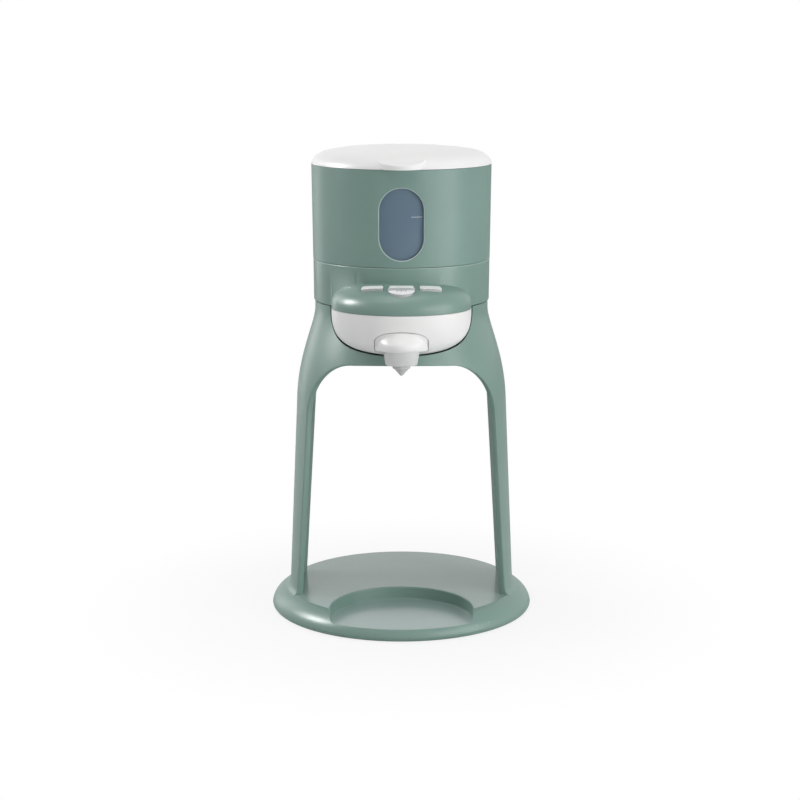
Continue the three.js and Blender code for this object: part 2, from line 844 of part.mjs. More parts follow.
// Buttons: plan outlines seen from above
function cornered(points, radius) {
  const shape = new THREE.Shape();
  points.forEach((point, i) => {
    const before = points[(i + points.length - 1) % points.length];
    const after = points[(i + 1) % points.length];
    const here = new THREE.Vector2(...point);
    const from = new THREE.Vector2(...before).sub(here).setLength(radius).add(here);
    const to = new THREE.Vector2(...after).sub(here).setLength(radius).add(here);
    shape[i ? 'lineTo' : 'moveTo'](from.x, from.y);
    shape.quadraticCurveTo(here.x, here.y, to.x, to.y);
  });
  return shape;
}

// The side buttons follow circles about the body's axis
function bandArc(radius, from, to) {
  const points = [];
  for (let i = 0; i <= roughSteps; i += 1) {
    const x = from + ((to - from) * i) / roughSteps;
    points.push([x, -Math.sqrt(radius ** 2 - x ** 2)]);
  }
  return points;
}

function sideButtonPlan(side, grow, spread = 0) {
  const inner = sideButtonInner - grow - spread;
  const outer = sideButtonOuter + grow + spread;
  const front = bandArc(sideButtonFront + grow, inner, outer);
  const back = bandArc(buttonBack - grow, inner, outer - sideButtonSlant);
  return cornered([...front, ...back.reverse()].map(([x, y]) => [side * x, y]), buttonCorner);
}

function centreButtonPlan(grow, spread = 0) {
  const half = centreButtonHalf + grow + spread;
  return cornered([
    [-half, -buttonFront - grow],
    [half, -buttonFront - grow],
    [half, -buttonBack + grow],
    [-half, -buttonBack + grow],
  ], buttonCorner / 2);
}

function crescentPlan(grow, spread = 0) {
  const chord = -buttonFront - buttonSplit + grow;
  const half = crescentHalf + grow + spread;
  const shape = new THREE.Shape();
  shape.moveTo(half, chord);
  shape.lineTo(-half, chord);
  shape.absellipse(0, chord, half, crescentReach + grow * 2, Math.PI, Math.PI * 2);
  return shape;
}

const buttonPlans = {
  button_left: (grow, spread) => sideButtonPlan(-1, grow, spread),
  button_right: (grow, spread) => sideButtonPlan(1, grow, spread),
  button_centre_back: centreButtonPlan,
  button_centre_front: crescentPlan,
};
const crescentSwitchY = -buttonFront - buttonSplit - switchHalf + buttonSplit / 2;
const middleButtonY = -(buttonFront + buttonBack) / 2;
const sideButtonX = (sideButtonInner + sideButtonOuter) / 2;
const sideButtonY = -Math.sqrt(((sideButtonFront + buttonBack) / 2) ** 2 - sideButtonX ** 2);
const switchPlaces = {
  button_left: [-sideButtonX, sideButtonY],
  button_right: [sideButtonX, sideButtonY],
  button_centre_back: [0, middleButtonY],
  button_centre_front: [0, crescentSwitchY],
};
const plungerTop = boardTop + seatGap + switchHeight + plungerHeight;
const postPlaces = [[sidePostX, -sidePostY], [-sidePostX, -sidePostY], [0, -middlePostY]];

function button(name) {
  const plan = buttonPlans[name];
  const high = bandBottom + coverRise + overrun;
  const layer = (from, to) => headForm(from, true, headBack).subtract(headForm(to, true, headBack));
  const cap = upright(plan(0, 0), boardBottom, high).intersect(layer(-buttonProud, buttonDepth));
  const flangeTop = buttonDepth - flangeThickness;
  const flange = upright(plan(0, flangeWidth), boardBottom, high).intersect(layer(flangeTop, buttonDepth));
  const [x, y] = switchPlaces[name];
  const stem = cylinder(stemRadius, plungerTop + buttonTravel + seatGap, high, x, y);
  return cap.add(flange).add(stem.intersect(headForm(buttonDepth / 2, true, headBack)));
}

// Upper housing: the body's lower band and the head's cover in one moulding
function upperHousing() {
  const bandOuter = revolve([
    [0, bandBottom],
    [bandRadius, bandBottom],
    [bandTopRadius, bandTop - bandChamfer],
    [bandTopRadius - bandChamfer, bandTop],
    [0, bandTop],
  ]);
  const bandInner = revolve([
    [0, bandBottom - overrun],
    [bandRadius - bandWall, bandBottom - overrun],
    [bandTopRadius - bandWall, bandTop + overrun],
    [0, bandTop + overrun],
  ]);
  const skirtOuter = collarRadius - collarWall - seatGap;
  const skirtInner = skirtOuter - skirtWall;
  const skirt = revolveRing([
    [skirtInner, bandBottom - skirtDepth],
    [skirtOuter, bandBottom - skirtDepth],
    [skirtOuter, bandBottom],
    [bandRadius - bandWall / 2, bandBottom],
    [bandRadius - bandWall / 2, bandBottom + skirtWall],
    [skirtInner, bandBottom + skirtWall],
  ]);
  const headHole = headForm(-collarOpeningGap, false, headBack - collarOpeningGap);
  const glandNotch = box(
    -glandFlange - slideGap, glandFlange + slideGap,
    skirtInner - overrun, skirtOuter + overrun,
    bandBottom - skirtDepth - overrun, bandBottom,
  );
  const deck = cylinder(bandRadius - bandWall / 2, deckTop - deckThickness, deckTop, 0, 0, roundSteps);
  const deckHole = cylinder(
    socketRadius + seatGap,
    deckTop - deckThickness - overrun,
    deckTop + overrun,
    0,
    0,
    fittingSteps,
  );
  const inside = headForm(headWall, true, headBack - bandWall);
  const coverTop = bandBottom + coverRise;
  const posts = postPlaces.map(([x, y]) => cylinder(postRadius, boardTop + seatGap, coverTop, x, y));
  const holes = Object.values(buttonPlans).map((plan) => {
    return upright(plan(seatGap, 0), boardTop, coverTop + overrun);
  });
  const postHoles = postPlaces.map(([x, y]) => screwHole(x, y, boardBottom, boardBottom + screwLength));
  return bandOuter
    .add(headForm(0, true, headBack))
    .subtract(bandInner)
    .add(skirt.subtract(headHole.translate([0, 0, seamGap])).subtract(glandNotch))
    .subtract(inside)
    .add(deck)
    .add(joined(posts).intersect(headForm(headWall / 2, true, headBack)))
    .subtract(joined(postHoles))
    .subtract(joined(holes))
    .subtract(deckHole);
}

// Drawer tab outline from the front
function tabOutline(grow) {
  const half = tabHalfWidth + grow;
  const low = standTop - bowlDepth - overrun * 2;
  const shape = new THREE.Shape();
  shape.moveTo(-half, low);
  shape.lineTo(half, low);
  shape.lineTo(half, tabShoulderHeight);
  const lift = tabShoulderHeight + tabCornerLift;
  const crown = tabTop + grow;
  shape.bezierCurveTo(half, lift, tabCornerReach, crown, 0, crown);
  shape.bezierCurveTo(-tabCornerReach, crown, -half, lift, -half, tabShoulderHeight);
  return shape;
}

const wingBottom = outletBottom + outletThickness - wingThickness;

function headBowl() {
  const shell = headForm(0, false, headBack).subtract(headForm(headWall, false, headBack + headWall));
  const front = -headCentre - headReach - overrun;
  const notch = frontToBack(tabOutline(seatGap), front, -notchSetback);
  const low = standTop - bowlDepth;
  const rails = [-1, 1].map((side) => {
    const middle = side * railOffset;
    const back = -headBack - headWall / 2;
    return box(
      middle - railWidth / 2, middle + railWidth / 2,
      -notchSetback, back,
      low, channelBottom - seatGap,
    );
  });
  const posts = [-1, 1].map((side) => {
    return cylinder(outletPostRadius, low, wingBottom - seatGap, side * outletPostX, -outletPostY);
  });
  const fixtures = joined([...rails, ...posts]).intersect(headForm(headWall / 2, false, headBack));
  const hoseNotch = box(
    -hoseNotchHalf, hoseNotchHalf,
    -headBack - headWall - overrun, -headBack + overrun,
    standTop - hoseNotchDepth, standTop + overrun,
  );
  return shell.add(fixtures).subtract(notch).subtract(hoseNotch);
}

function cordGland() {
  const outside = collarRadius;
  const inside = collarRadius - collarWall - glandPad - seatGap;
  const flange = glandRod(glandFlange - glandChamfer, glandFlange, outside + glandFlangeThickness, outside);
  const neck = glandRod(glandNeck, glandNeck, outside + seatGap, inside - glandFlangeThickness / 2);
  const nut = glandRod(glandFlange, glandFlange, inside, inside - glandFlangeThickness);
  const bore = glandRod(glandBore, glandBore, outside + overrun, inside - overrun);
  return flange.add(neck).add(nut).subtract(bore);
}

addPiece('stand', stand(), sage);
addPiece('cord_gland', cordGland(), darkPlastic);
addPiece('upper_housing', upperHousing(), sage);
addPiece('head_bowl', headBowl(), white);

// Buttons, with lenses set in the crescent one
const lensPlaces = [-1, 0, 1].map((step) => [step * lensPitch, -buttonFront - buttonSplit - lensSetback]);
const coverSurface = headForm(-buttonProud, true, headBack);
function lensColumn([x, y], grow) {
  const high = bandBottom + coverRise + overrun;
  const column = cylinder(lensRadius + grow, boardTop, high, x, y, smallSteps / 2);
  return column.subtract(headForm(lensDepth - buttonProud + grow, true, headBack));
}

const lensHoles = joined(lensPlaces.map((place) => lensColumn(place, screwHoleGap)));
for (const name of Object.keys(buttonPlans)) {
  const solid = button(name);
  addPiece(name, name === 'button_centre_front' ? solid.subtract(lensHoles) : solid, white);
}
addEach('indicator_lens', lensPlaces, (place) => lensColumn(place, 0).intersect(coverSurface), lensGlow);

// Control board, its switches and screws
function controlBoard() {
  const halfWidth = headHalfWidth - boardInset;
  const shape = new THREE.Shape();
  shape.moveTo(halfWidth, -headCentre);
  shape.lineTo(-halfWidth, -headCentre);
  shape.absellipse(0, -headCentre, halfWidth, headReach - boardInset, Math.PI, Math.PI * 2);
  const plate = upright(shape, boardBottom, boardTop);
  const holes = postPlaces.map(([x, y]) => screwHole(x, y, boardBottom - overrun, boardTop + overrun));
  return plate.subtract(joined(holes));
}

function keySwitch([x, y]) {
  const bottom = boardTop + seatGap;
  const body = box(
    x - switchHalf, x + switchHalf,
    y - switchHalf, y + switchHalf,
    bottom, bottom + switchHeight,
  );
  return body.add(cylinder(stemRadius, bottom + switchHeight / 2, plungerTop, x, y));
}

addPiece('control_board', controlBoard(), boardGreen);
addEach('key_switch', Object.values(switchPlaces), keySwitch, darkPlastic);
const boardScrewHead = boardBottom - seatGap - screwHeadHeight;
const boardScrewLength = screwLength - screwHeadHeight;
addEach('board_screw', postPlaces, ([x, y]) => screw(x, y, boardScrewHead, boardScrewLength), steel);

// Drawer: tab with a thumb lip, channel, funnel and spout shroud in one moulding
const channelInner = channelHalfWidth - channelWall;
const channelFloor = channelBottom + channelWall;

function shroudCone(inset, bottom, top) {
  const cone = cylinder(shroudBottomHalf - inset, bottom, top, 0, 0, mediumSteps, shroudTopHalf - inset);
  return cone.scale([1, shroudDepthShare, 1]).translate([0, -shroudCentre, 0]);
}

function drawerFront() {
  const lip = revolve([
    [0, lipBottom],
    [lipDiscRadius - lipEdgeRise, lipBottom],
    [lipDiscRadius, lipBottom + lipEdgeRise],
    [lipDiscRadius, lipBottom + lipThickness],
    [lipDiscRadius - lipHollowInset, lipBottom + lipHollowRise],
    [lipDiscRadius - lipUpperInset, tabShoulderHeight + lipEdgeRise],
    [lipDiscRadius - lipTopInset, tabTop],
    [0, tabTop],
  ], mediumSteps).translate([0, -lipDiscCentre, 0]);
  const prism = frontToBack(tabOutline(0), -lipDiscCentre - lipDiscRadius - overrun, -notchSetback);
  const tab = lip.add(headForm(0, false, headBack)).intersect(prism);
  const channel = box(
    -channelHalfWidth, channelHalfWidth,
    -notchSetback - overrun, -channelBack,
    channelBottom, channelTop,
  );
  const inside = box(
    -channelInner, channelInner,
    -channelFront, -channelBack - channelWall,
    channelFloor, tabTop + overrun,
  );
  const funnelBottom = channelFloor - funnelDepth;
  const funnel = cylinder(
    throatRadius,
    funnelBottom,
    channelFloor,
    0,
    -shroudCentre,
    fittingSteps,
    throatRadius + funnelSpread,
  );
  const throat = cylinder(
    throatRadius,
    shroudBottom + shroudWall,
    channelFloor,
    0,
    -shroudCentre,
    fittingSteps,
  );
  const pocketTop = shroudBottom + shroudWall + nozzleFlangeHeight + seatGap * 2;
  const pocket = cylinder(
    nozzleFlange + seatGap,
    shroudBottom + shroudWall,
    pocketTop,
    0,
    -shroudCentre,
    fittingSteps,
  );
  const hole = cylinder(nozzleHole, shroudBottom - overrun, pocketTop, 0, -shroudCentre, fittingSteps);
  const funnelSides = box(
    -channelInner, channelInner,
    -channelFront, -channelBack,
    funnelBottom - overrun, tabTop,
  );
  return tab
    .add(channel)
    .add(shroudCone(0, shroudBottom, channelFloor - channelWall / 2))
    .subtract(inside)
    .subtract(funnel.intersect(funnelSides))
    .subtract(throat)
    .subtract(pocket)
    .subtract(hole);
}

function spoutNozzle() {
  const flangeBottom = shroudBottom + shroudWall + seatGap;
  const flangeTop = flangeBottom + nozzleFlangeHeight;
  const skirtTop = shroudBottom - seatGap;
  const tip = skirtTop - nozzleLength;
  return revolveRing([
    [nozzleBore, flangeTop],
    [nozzleBore, skirtTop - nozzleSkirt],
    [nozzleOutlet, tip + nozzleTipWall],
    [nozzleOutlet, tip],
    [nozzleTip, tip],
    [nozzleRadius, skirtTop - nozzleSkirt],
    [nozzleRadius, skirtTop],
    [nozzleNeck, skirtTop],
    [nozzleNeck, flangeBottom],
    [nozzleFlange, flangeBottom],
    [nozzleFlange, flangeTop],
  ], fittingSteps).translate([0, -shroudCentre, 0]);
}

function powderBasket() {
  const half = channelInner - seatGap;
  const front = -channelFront + seatGap;
  const back = -channelBack - channelWall - seatGap;
  const bottom = channelFloor + seatGap;
  const sieve = bottom + basketFootHeight;
  const outer = box(-half, half, front, back, bottom, basketTop);
  const well = box(
    -half + basketWall, half - basketWall,
    front + basketWall, back - basketWall,
    sieve + basketWall, basketTop + overrun,
  );
  const under = box(
    -half + basketWall, half - basketWall,
    front + basketWall, back - basketWall,
    bottom - overrun, sieve,
  );
  const slots = [];
  for (let row = 0; row < basketSlotCount; row += 1) {
    const y = (front + back) / 2 + (row - (basketSlotCount - 1) / 2) * basketSlotPitch;
    slots.push(box(
      -half + basketSlotEdge, half - basketSlotEdge,
      y - basketSlotWidth / 2, y + basketSlotWidth / 2,
      sieve - overrun, sieve + overrun,
    ));
  }
  return outer.subtract(well).subtract(under).subtract(joined(slots));
}

addPiece('drawer_front', drawerFront(), white);
addPiece('spout_nozzle', spoutNozzle(), silicone);
addPiece('powder_basket', powderBasket(), white);

// Water outlet: a small shower over the basket, held on two posts
const outletTop = outletBottom + outletThickness;
const outletBarbHeight = outletTop + outletBarbLift;

function waterOutlet() {
  const bossTop = outletTop + outletBossHeight;
  const boss = cylinder(outletBossRadius, outletTop - outletWall, bossTop, 0, -outletCentre);
  const chamber = cylinder(
    outletRadius - outletWall,
    outletBottom + outletWall,
    outletTop - outletWall,
    0,
    -outletCentre,
    fittingSteps,
  );
  const wings = box(
    -wingHalf, wingHalf,
    -outletPostY - wingWidth / 2, -outletPostY + wingWidth / 2,
    wingBottom, outletTop,
  );
  const holes = [];
  for (let i = 0; i < outletHoleCount; i += 1) {
    const angle = (i / outletHoleCount) * Math.PI * 2;
    const x = outletHoleRing * Math.cos(angle);
    const y = -outletCentre + outletHoleRing * Math.sin(angle);
    const [low, high] = [outletBottom - overrun, outletBottom + overrun / 2];
    holes.push(cylinder(outletHoleRadius, low, high, x, y, smallSteps / 2));
  }
  const barbStart = [0, -outletCentre, outletBarbHeight];
  const barbEnd = [0, -outletCentre + outletBossRadius + barbLength, outletBarbHeight];
  const drop = [0, -outletCentre, outletBottom + overrun / 2];
  return cylinder(outletRadius, outletBottom, outletTop, 0, -outletCentre, fittingSteps)
    .add(boss)
    .add(wings)
    .add(rod(barbRadius, barbStart, barbEnd))
    .subtract(chamber)
    .subtract(rod(barbBore, barbStart, [0, barbEnd[1] + overrun, outletBarbHeight]))
    .subtract(rod(barbBore, barbStart, drop))
    .subtract(joined(holes));
}

addPiece('water_outlet', waterOutlet(), darkPlastic);

// Tank: a smoke-clear cup in a sleeve with a capsule window
const tankFloor = cupBottom + tankWall;
const tankLedge = tankBottom + tankStep;
const webTop = tankFloor - valveWebDrop;
const capBottom = tankFloor - capSeat + seatGap;
const capTop = capBottom + valveCapHeight;
const capRadius = stubBore + valveCapWall;
const sealHeight = stubBottom + sealRise;
const cupTopRadius = sleeveTopRadius - sleeveWall - seatGap;
const hingeHeight = lidBottom + hingeRise;

function waterTank() {
  const cupRadius = sleeveRadius - sleeveWall - seatGap;
  const inner = tankBaseRadius - tankWall;
  const groove = sealTube + seatGap;
  const cup = revolve([
    [0, cupBottom],
    [tankBaseRadius - tankBaseCorner, cupBottom],
    [tankBaseRadius, cupBottom + tankBaseCorner],
    [tankBaseRadius, tankLedge],
    [cupRadius, tankLedge],
    [cupTopRadius, tankTop],
    [cupTopRadius - tankWall, tankTop],
    [cupRadius - tankWall, tankLedge + tankWall],
    [inner, tankLedge + tankWall],
    [inner, tankFloor],
    [0, tankFloor],
  ]);
  const stub = revolve([
    [0, stubBottom],
    [stubRadius, stubBottom],
    [stubRadius, sealHeight - groove],
    [stubRadius - groove + sealSpread, sealHeight - groove],
    [stubRadius - groove + sealSpread, sealHeight + groove],
    [stubRadius, sealHeight + groove],
    [stubRadius, tankFloor - tankWall / 2],
    [0, tankFloor - tankWall / 2],
  ], fittingSteps);
  const valveBore = revolve([
    [0, stubBottom - overrun],
    [stubBore, stubBottom - overrun],
    [stubBore, webTop - valveWebThickness],
    [valveHole, webTop - valveWebThickness],
    [valveHole, webTop],
    [stubBore, webTop],
    [stubBore, tankFloor - capSeat],
    [capRadius + seatGap, tankFloor - capSeat],
    [capRadius + seatGap, tankFloor + overrun],
    [0, tankFloor + overrun],
  ], fittingSteps);
  return cup.add(stub).subtract(valveBore);
}

// The hinge's parts all lie along x
function hingeRod(radius, left, right) {
  return rod(radius, [left, hingeSetback, hingeHeight], [right, hingeSetback, hingeHeight], hingeSteps);
}

function sideways(points, left, right) {
  const shape = new THREE.Shape(points.map(([y, z]) => new THREE.Vector2(y, z)));
  const options = { depth: right - left, bevelEnabled: false };
  const geometry = new THREE.ExtrudeGeometry(shape, options);
  geometry.rotateX(Math.PI / 2).rotateZ(Math.PI / 2).translate(left, 0, 0);
  return asSolid(geometry);
}

function tankSleeve() {
  const tube = revolveRing([
    [sleeveRadius, tankBottom],
    [sleeveTopRadius, tankTop],
    [sleeveTopRadius - sleeveWall, tankTop],
    [sleeveRadius - sleeveWall, tankLedge - seatGap],
    [tankBaseRadius + seatGap, tankLedge - seatGap],
    [tankBaseRadius + seatGap, tankBottom],
  ]);
  const capsule = roundedRect(
    -windowHalfWidth, windowHalfWidth,
    tankBottom + windowBottom, tankBottom + windowTop,
    windowHalfWidth,
  );
  const window = frontToBack(capsule, -sleeveTopRadius - overrun, -sleeveRadius / 2);
  const bracket = sideways([
    [sleeveTopRadius - sleeveWall / 2, hingeHeight - hingeBracketDepth],
    [hingeSetback + hingeRadius, hingeHeight - hingeRise * 2],
    [hingeSetback, hingeHeight],
    [sleeveTopRadius - sleeveWall / 2, tankTop],
  ], -hingeHalfWidth, hingeHalfWidth);
  const knuckle = hingeRod(hingeRadius, -hingeHalfWidth, hingeHalfWidth);
  const bore = hingeRod(hingePinRadius + seatGap, -hingeHalfWidth - overrun, hingeHalfWidth + overrun);
  return tube.subtract(window).add(bracket).add(knuckle).subtract(bore);
}

function valvePoppet() {
  const bottom = webTop + poppetLift + seatGap;
  const head = cylinder(poppetRadius, bottom, bottom + poppetThickness, 0, 0);
  return head.add(cylinder(poppetStem, pinTop + seatGap, capTop + poppetStem, 0, 0));
}

// A round wire or a hose along a curve
function swept(curve, radius, bore, steps, sides) {
  const shape = new THREE.Shape();
  shape.absarc(0, 0, radius, 0, Math.PI * 2);
  if (bore) {
    const hole = new THREE.Path();
    hole.absarc(0, 0, bore, 0, Math.PI * 2);
    shape.holes.push(hole);
  }
  return asSolid(new THREE.ExtrudeGeometry(shape, { extrudePath: curve, steps, curveSegments: sides / 2 }));
}

function valveSpring() {
  const bottom = webTop + poppetLift + seatGap * 1.5 + poppetThickness + springWire;
  const top = capTop - valveCapWall - springWire - seatGap / 2;
  const places = [];
  const count = springTurns * smallSteps;
  for (let i = 0; i <= count; i += 1) {
    const angle = (i / smallSteps) * Math.PI * 2;
    const height = bottom + ((top - bottom) * i) / count;
    places.push(new THREE.Vector3(springRadius * Math.cos(angle), springRadius * Math.sin(angle), height));
  }
  return swept(new THREE.CatmullRomCurve3(places), springWire, 0, count, springSides);
}

function valveCap() {
  const tube = cylinder(capRadius, capBottom, capTop, 0, 0, fittingSteps);
  const inner = cylinder(stubBore, capBottom - overrun, capTop - valveCapWall, 0, 0, fittingSteps);
  const half = valveCapSlot / 2;
  const low = tankFloor + seatGap;
  const high = capTop - valveCapWall - seatGap;
  const slots = box(-half, half, -stubRadius, stubRadius, low, high);
  const crossSlots = box(-stubRadius, stubRadius, -half, half, low, high);
  const stemHole = cylinder(stemClearance, capBottom, capTop + overrun, 0, 0);
  return tube.subtract(inner).subtract(slots).subtract(crossSlots).subtract(stemHole);
}

function torus(ring, tube, height) {
  return asSolid(new THREE.TorusGeometry(ring, tube, smallSteps / 2, fittingSteps).translate(0, 0, height));
}

// Inlet socket: takes the tank's stub and holds the pin that lifts the valve
const socketBottom = stubBottom - socketClearance - socketFloor;
const socketFloorTop = socketBottom + socketFloor;
const pinTop = socketFloorTop + pinHeight;

function inletSocket() {
  const flangeTop = deckTop - deckThickness - seatGap;
  const body = cylinder(socketRadius, socketBottom, deckTop, 0, 0, fittingSteps);
  const flange = cylinder(socketFlange, flangeTop - socketFlangeThickness, flangeTop, 0, 0, fittingSteps);
  const bore = cylinder(socketBore, socketFloorTop, deckTop + overrun, 0, 0, fittingSteps);
  const sump = cylinder(socketSump, socketFloorTop - socketFloor / 2, socketFloorTop + overrun, 0, 0);
  const rib = box(
    -socketSump - pinRib, socketSump + pinRib,
    -pinRib / 2, pinRib / 2,
    socketBottom, socketFloorTop,
  );
  const barb = cylinder(barbRadius, socketBottom - barbLength, socketFloorTop - socketFloor / 2, 0, 0);
  const drain = cylinder(barbBore, socketBottom - barbLength - overrun, socketFloorTop, 0, 0);
  return body
    .add(flange)
    .add(barb)
    .subtract(bore)
    .subtract(sump)
    .subtract(drain)
    .add(rib.intersect(body))
    .add(cylinder(pinRadius, socketFloorTop - pinRib / 2, pinTop, 0, 0));
}

addPiece('inlet_socket', inletSocket(), darkPlastic);
addPiece('tank_sleeve', tankSleeve(), sage);
addPiece('water_tank', waterTank(), smoke);
addPiece('valve_poppet', valvePoppet(), silicone);
addPiece('valve_spring', valveSpring(), steel);
addPiece('valve_cap', valveCap(), white);
addPiece('tank_outlet_seal', torus(stubRadius + sealSpread, sealTube, sealHeight), rubber);

// Lid
function lidOutline(inset) {
  const steps = inset ? roughSteps : curveSteps;
  const edge = bezier([
    [lidRadius - inset, lidBottom],
    [lidEdgeRadius - inset, lidBottom + lidEdgeRise - inset / 2],
    [lidCrownRadius - inset, lidBottom + lidCrownRise - inset],
  ], steps);
  const crown = bezier([
    [lidCrownRadius - inset, lidBottom + lidCrownRise - inset],
    [lidCrownBend, lidBottom + lidRise - inset],
    [0, lidBottom + lidRise - inset],
  ], inset ? roughSteps - 1 : roughSteps);
  return [...edge, ...crown.slice(1)];
}

const lidGrooveBottom = lidBottom - lidSkirtDepth + lidSealLift;

function lid() {
  const shell = revolve([...lidOutline(lidWall).reverse(), ...lidOutline(0)]);
  const hollow = revolve([[0, lidBottom], ...lidOutline(lidWall)]);
  const high = lidBottom + lidRise;
  const disc = cylinder(lipRadius, lidBottom, high, 0, -lipCentre, mediumSteps);
  const slope = sideways([
    [-lipCentre - lipRadius, lidBottom],
    [-lipCentre - lipRadius, lidBottom + lipFrontRise],
    [-lipCentre, lidBottom + lipBackRise],
    [-lipCentre + lipRadius, lidBottom + lipBackRise],
    [-lipCentre + lipRadius, lidBottom],
  ], -lipRadius, lipRadius);
  const grooveTop = lidGrooveBottom + lidSealHeight + seatGap * 2;
  const skirt = revolveRing([
    [lidSkirtRadius - lidGroove, lidBottom - lidSkirtDepth],
    [lidSkirtRadius - lidGroove, grooveTop],
    [lidSkirtRadius, grooveTop],
    [lidSkirtRadius, lidBottom + lidSkirtRise],
    [lidSkirtRadius - lidSkirtWall, lidBottom + lidSkirtRise],
    [lidSkirtRadius - lidSkirtWall, lidBottom - lidSkirtDepth],
  ]);
  const inner = hingeHalfWidth + slideGap;
  const outer = inner + hingeArmWidth;
  const arms = [-1, 1].map((side) => {
    const [left, right] = side > 0 ? [inner, outer] : [-outer, -inner];
    const arm = box(
      left, right,
      lidCrownRadius, hingeSetback,
      lidBottom, lidBottom + hingeArmThickness,
    );
    return arm.subtract(hollow).add(hingeRod(hingeRadius, left, right));
  });
  const bore = hingeRod(hingePinRadius + seatGap, -outer + hingePinCover, outer - hingePinCover);
  const lip = disc.intersect(slope).subtract(hollow);
  return shell.add(lip).add(skirt).add(joined(arms)).subtract(bore);
}

function lidSeal() {
  const inner = lidSkirtRadius - lidGroove + seatGap;
  const bottom = lidGrooveBottom + seatGap;
  const outer = inner + lidSealWidth;
  return revolveRing([
    [inner, bottom],
    [outer, bottom + lidSealHeight / 2],
    [inner, bottom + lidSealHeight],
  ]);
}

const pinEnd = hingeHalfWidth + slideGap + hingeArmWidth - hingePinCover - seatGap;
addPiece('lid', lid(), white);
addPiece('lid_seal', lidSeal(), rubber);
addPiece('lid_hinge_pin', hingeRod(hingePinRadius, -pinEnd, pinEnd), steel);

// Inside the collar: floor, pump, heater, power board and hoses
const powerBoardBack = powerBoardY + boardThickness;

function chassisFloor() {
  const low = radiusOn(innerBell, floorBottom) - seatGap;
  const high = radiusOn(innerBell, floorTop) - seatGap;
  const plate = cylinder(low, floorBottom, floorTop, 0, 0, roundSteps, high);
  const pumpRim = pumpRadius + seatGap;
  const ribTop = insideFloor + floorRibHeight;
  const ring = cylinder(pumpRim + floorRibWall, floorTop - overrun / 2, ribTop, -pumpX, pumpY, fittingSteps)
    .subtract(cylinder(pumpRim, floorTop, ribTop + overrun, -pumpX, pumpY, fittingSteps));
  const tray = heaterBox(seatGap + floorRibWall, floorTop - overrun / 2, ribTop)
    .subtract(heaterBox(seatGap, floorTop, ribTop + overrun));
  const slots = [-1, 1].map((side) => {
    const middle = side * (powerBoardHalf - boardSlotHalf / 2);
    const outside = side * (powerBoardHalf + boardSlotHalf / 2);
    const [left, right] = [middle, outside].sort((a, b) => a - b);
    const post = box(
      left, right,
      powerBoardY - boardSlotHalf, powerBoardBack + boardSlotHalf,
      floorTop - overrun / 2, insideFloor + boardSlotHeight,
    );
    return post.subtract(box(
      -powerBoardHalf - seatGap, powerBoardHalf + seatGap,
      powerBoardY - seatGap, powerBoardBack + seatGap,
      floorTop, insideFloor + boardSlotHeight + overrun,
    ));
  });
  const [holeBottom, holeTop] = [floorBottom - overrun, floorTop + overrun];
  const holes = chassisBossPlaces.map(([x, y]) => screwHole(x, y, holeBottom, holeTop));
  const above = box(-high, high, -high, high, floorBottom, bandBottom);
  return plate.add(joined([ring, tray, ...slots]).intersect(above)).subtract(joined(holes));
}

function heaterBox(grow, bottom, top) {
  return box(
    heaterX - heaterWidth / 2 - grow, heaterX + heaterWidth / 2 + grow,
    heaterY - heaterDepth / 2 - grow, heaterY + heaterDepth / 2 + grow,
    bottom, top,
  );
}

function withBarb(solid, face, tip) {
  const [root, end] = [new THREE.Vector3(...face), new THREE.Vector3(...tip)];
  const reach = end.clone().sub(root);
  const inward = root.sub(reach).toArray();
  const outward = end.add(reach).toArray();
  return solid
    .add(rod(barbRadius, inward, tip))
    .subtract(rod(barbBore, inward, outward));
}

const pumpTop = insideFloor + pumpHeight;
const heaterTop = insideFloor + heaterHeight;
const pumpSide = [-pumpX + pumpRadius, pumpY, insideFloor + pumpBarbHeight];
const pumpSideTip = [pumpSide[0] + barbLength, pumpY, pumpSide[2]];
const heaterFront = [heaterBarbX, heaterY - heaterDepth / 2, insideFloor + heaterBarbHeight];
const heaterFrontTip = [heaterBarbX, heaterFront[1] - barbLength, heaterFront[2]];

function pump() {
  const body = revolve([
    [0, insideFloor],
    [pumpRadius, insideFloor],
    [pumpRadius, pumpTop - pumpShoulder],
    [pumpNeck, pumpTop],
    [0, pumpTop],
  ], fittingSteps).translate([-pumpX, pumpY, 0]);
  const top = withBarb(body, [-pumpX, pumpY, pumpTop], [-pumpX, pumpY, pumpTop + barbLength]);
  return withBarb(top, pumpSide, pumpSideTip);
}

function flowHeater() {
  let block = heaterBox(0, insideFloor, heaterTop);
  const right = heaterX + heaterWidth / 2;
  for (let i = 0; i < heaterFinCount; i += 1) {
    const middle = heaterY + (i - (heaterFinCount - 1) / 2) * heaterFin * 2.5;
    block = block.subtract(box(
      right - heaterFinDepth, right + overrun,
      middle - heaterFin / 2, middle + heaterFin / 2,
      insideFloor + floorRibHeight * 2, heaterTop + overrun,
    ));
  }
  const top = withBarb(block, [heaterX, heaterY, heaterTop], [heaterX, heaterY, heaterTop + barbLength]);
  return withBarb(top, heaterFront, heaterFrontTip);
}

function powerBoard() {
  const board = box(
    -powerBoardHalf, powerBoardHalf,
    powerBoardY, powerBoardBack,
    insideFloor, insideFloor + powerBoardHeight,
  );
  const low = insideFloor + powerPartLift + floorRibHeight;
  const transformer = box(
    -powerPartWidth - powerPartLift, -powerPartLift,
    powerBoardY - powerPartDepth, powerBoardY + boardThickness / 2,
    low, low + powerPartHeight,
  );
  const [x, z] = [powerPartWidth - capacitorRadius, low + powerPartHeight / 2];
  const root = [x, powerBoardY + boardThickness / 2, z];
  const capacitor = rod(capacitorRadius, root, [x, powerBoardY - powerPartDepth, z]);
  return board.add(transformer).add(capacitor);
}

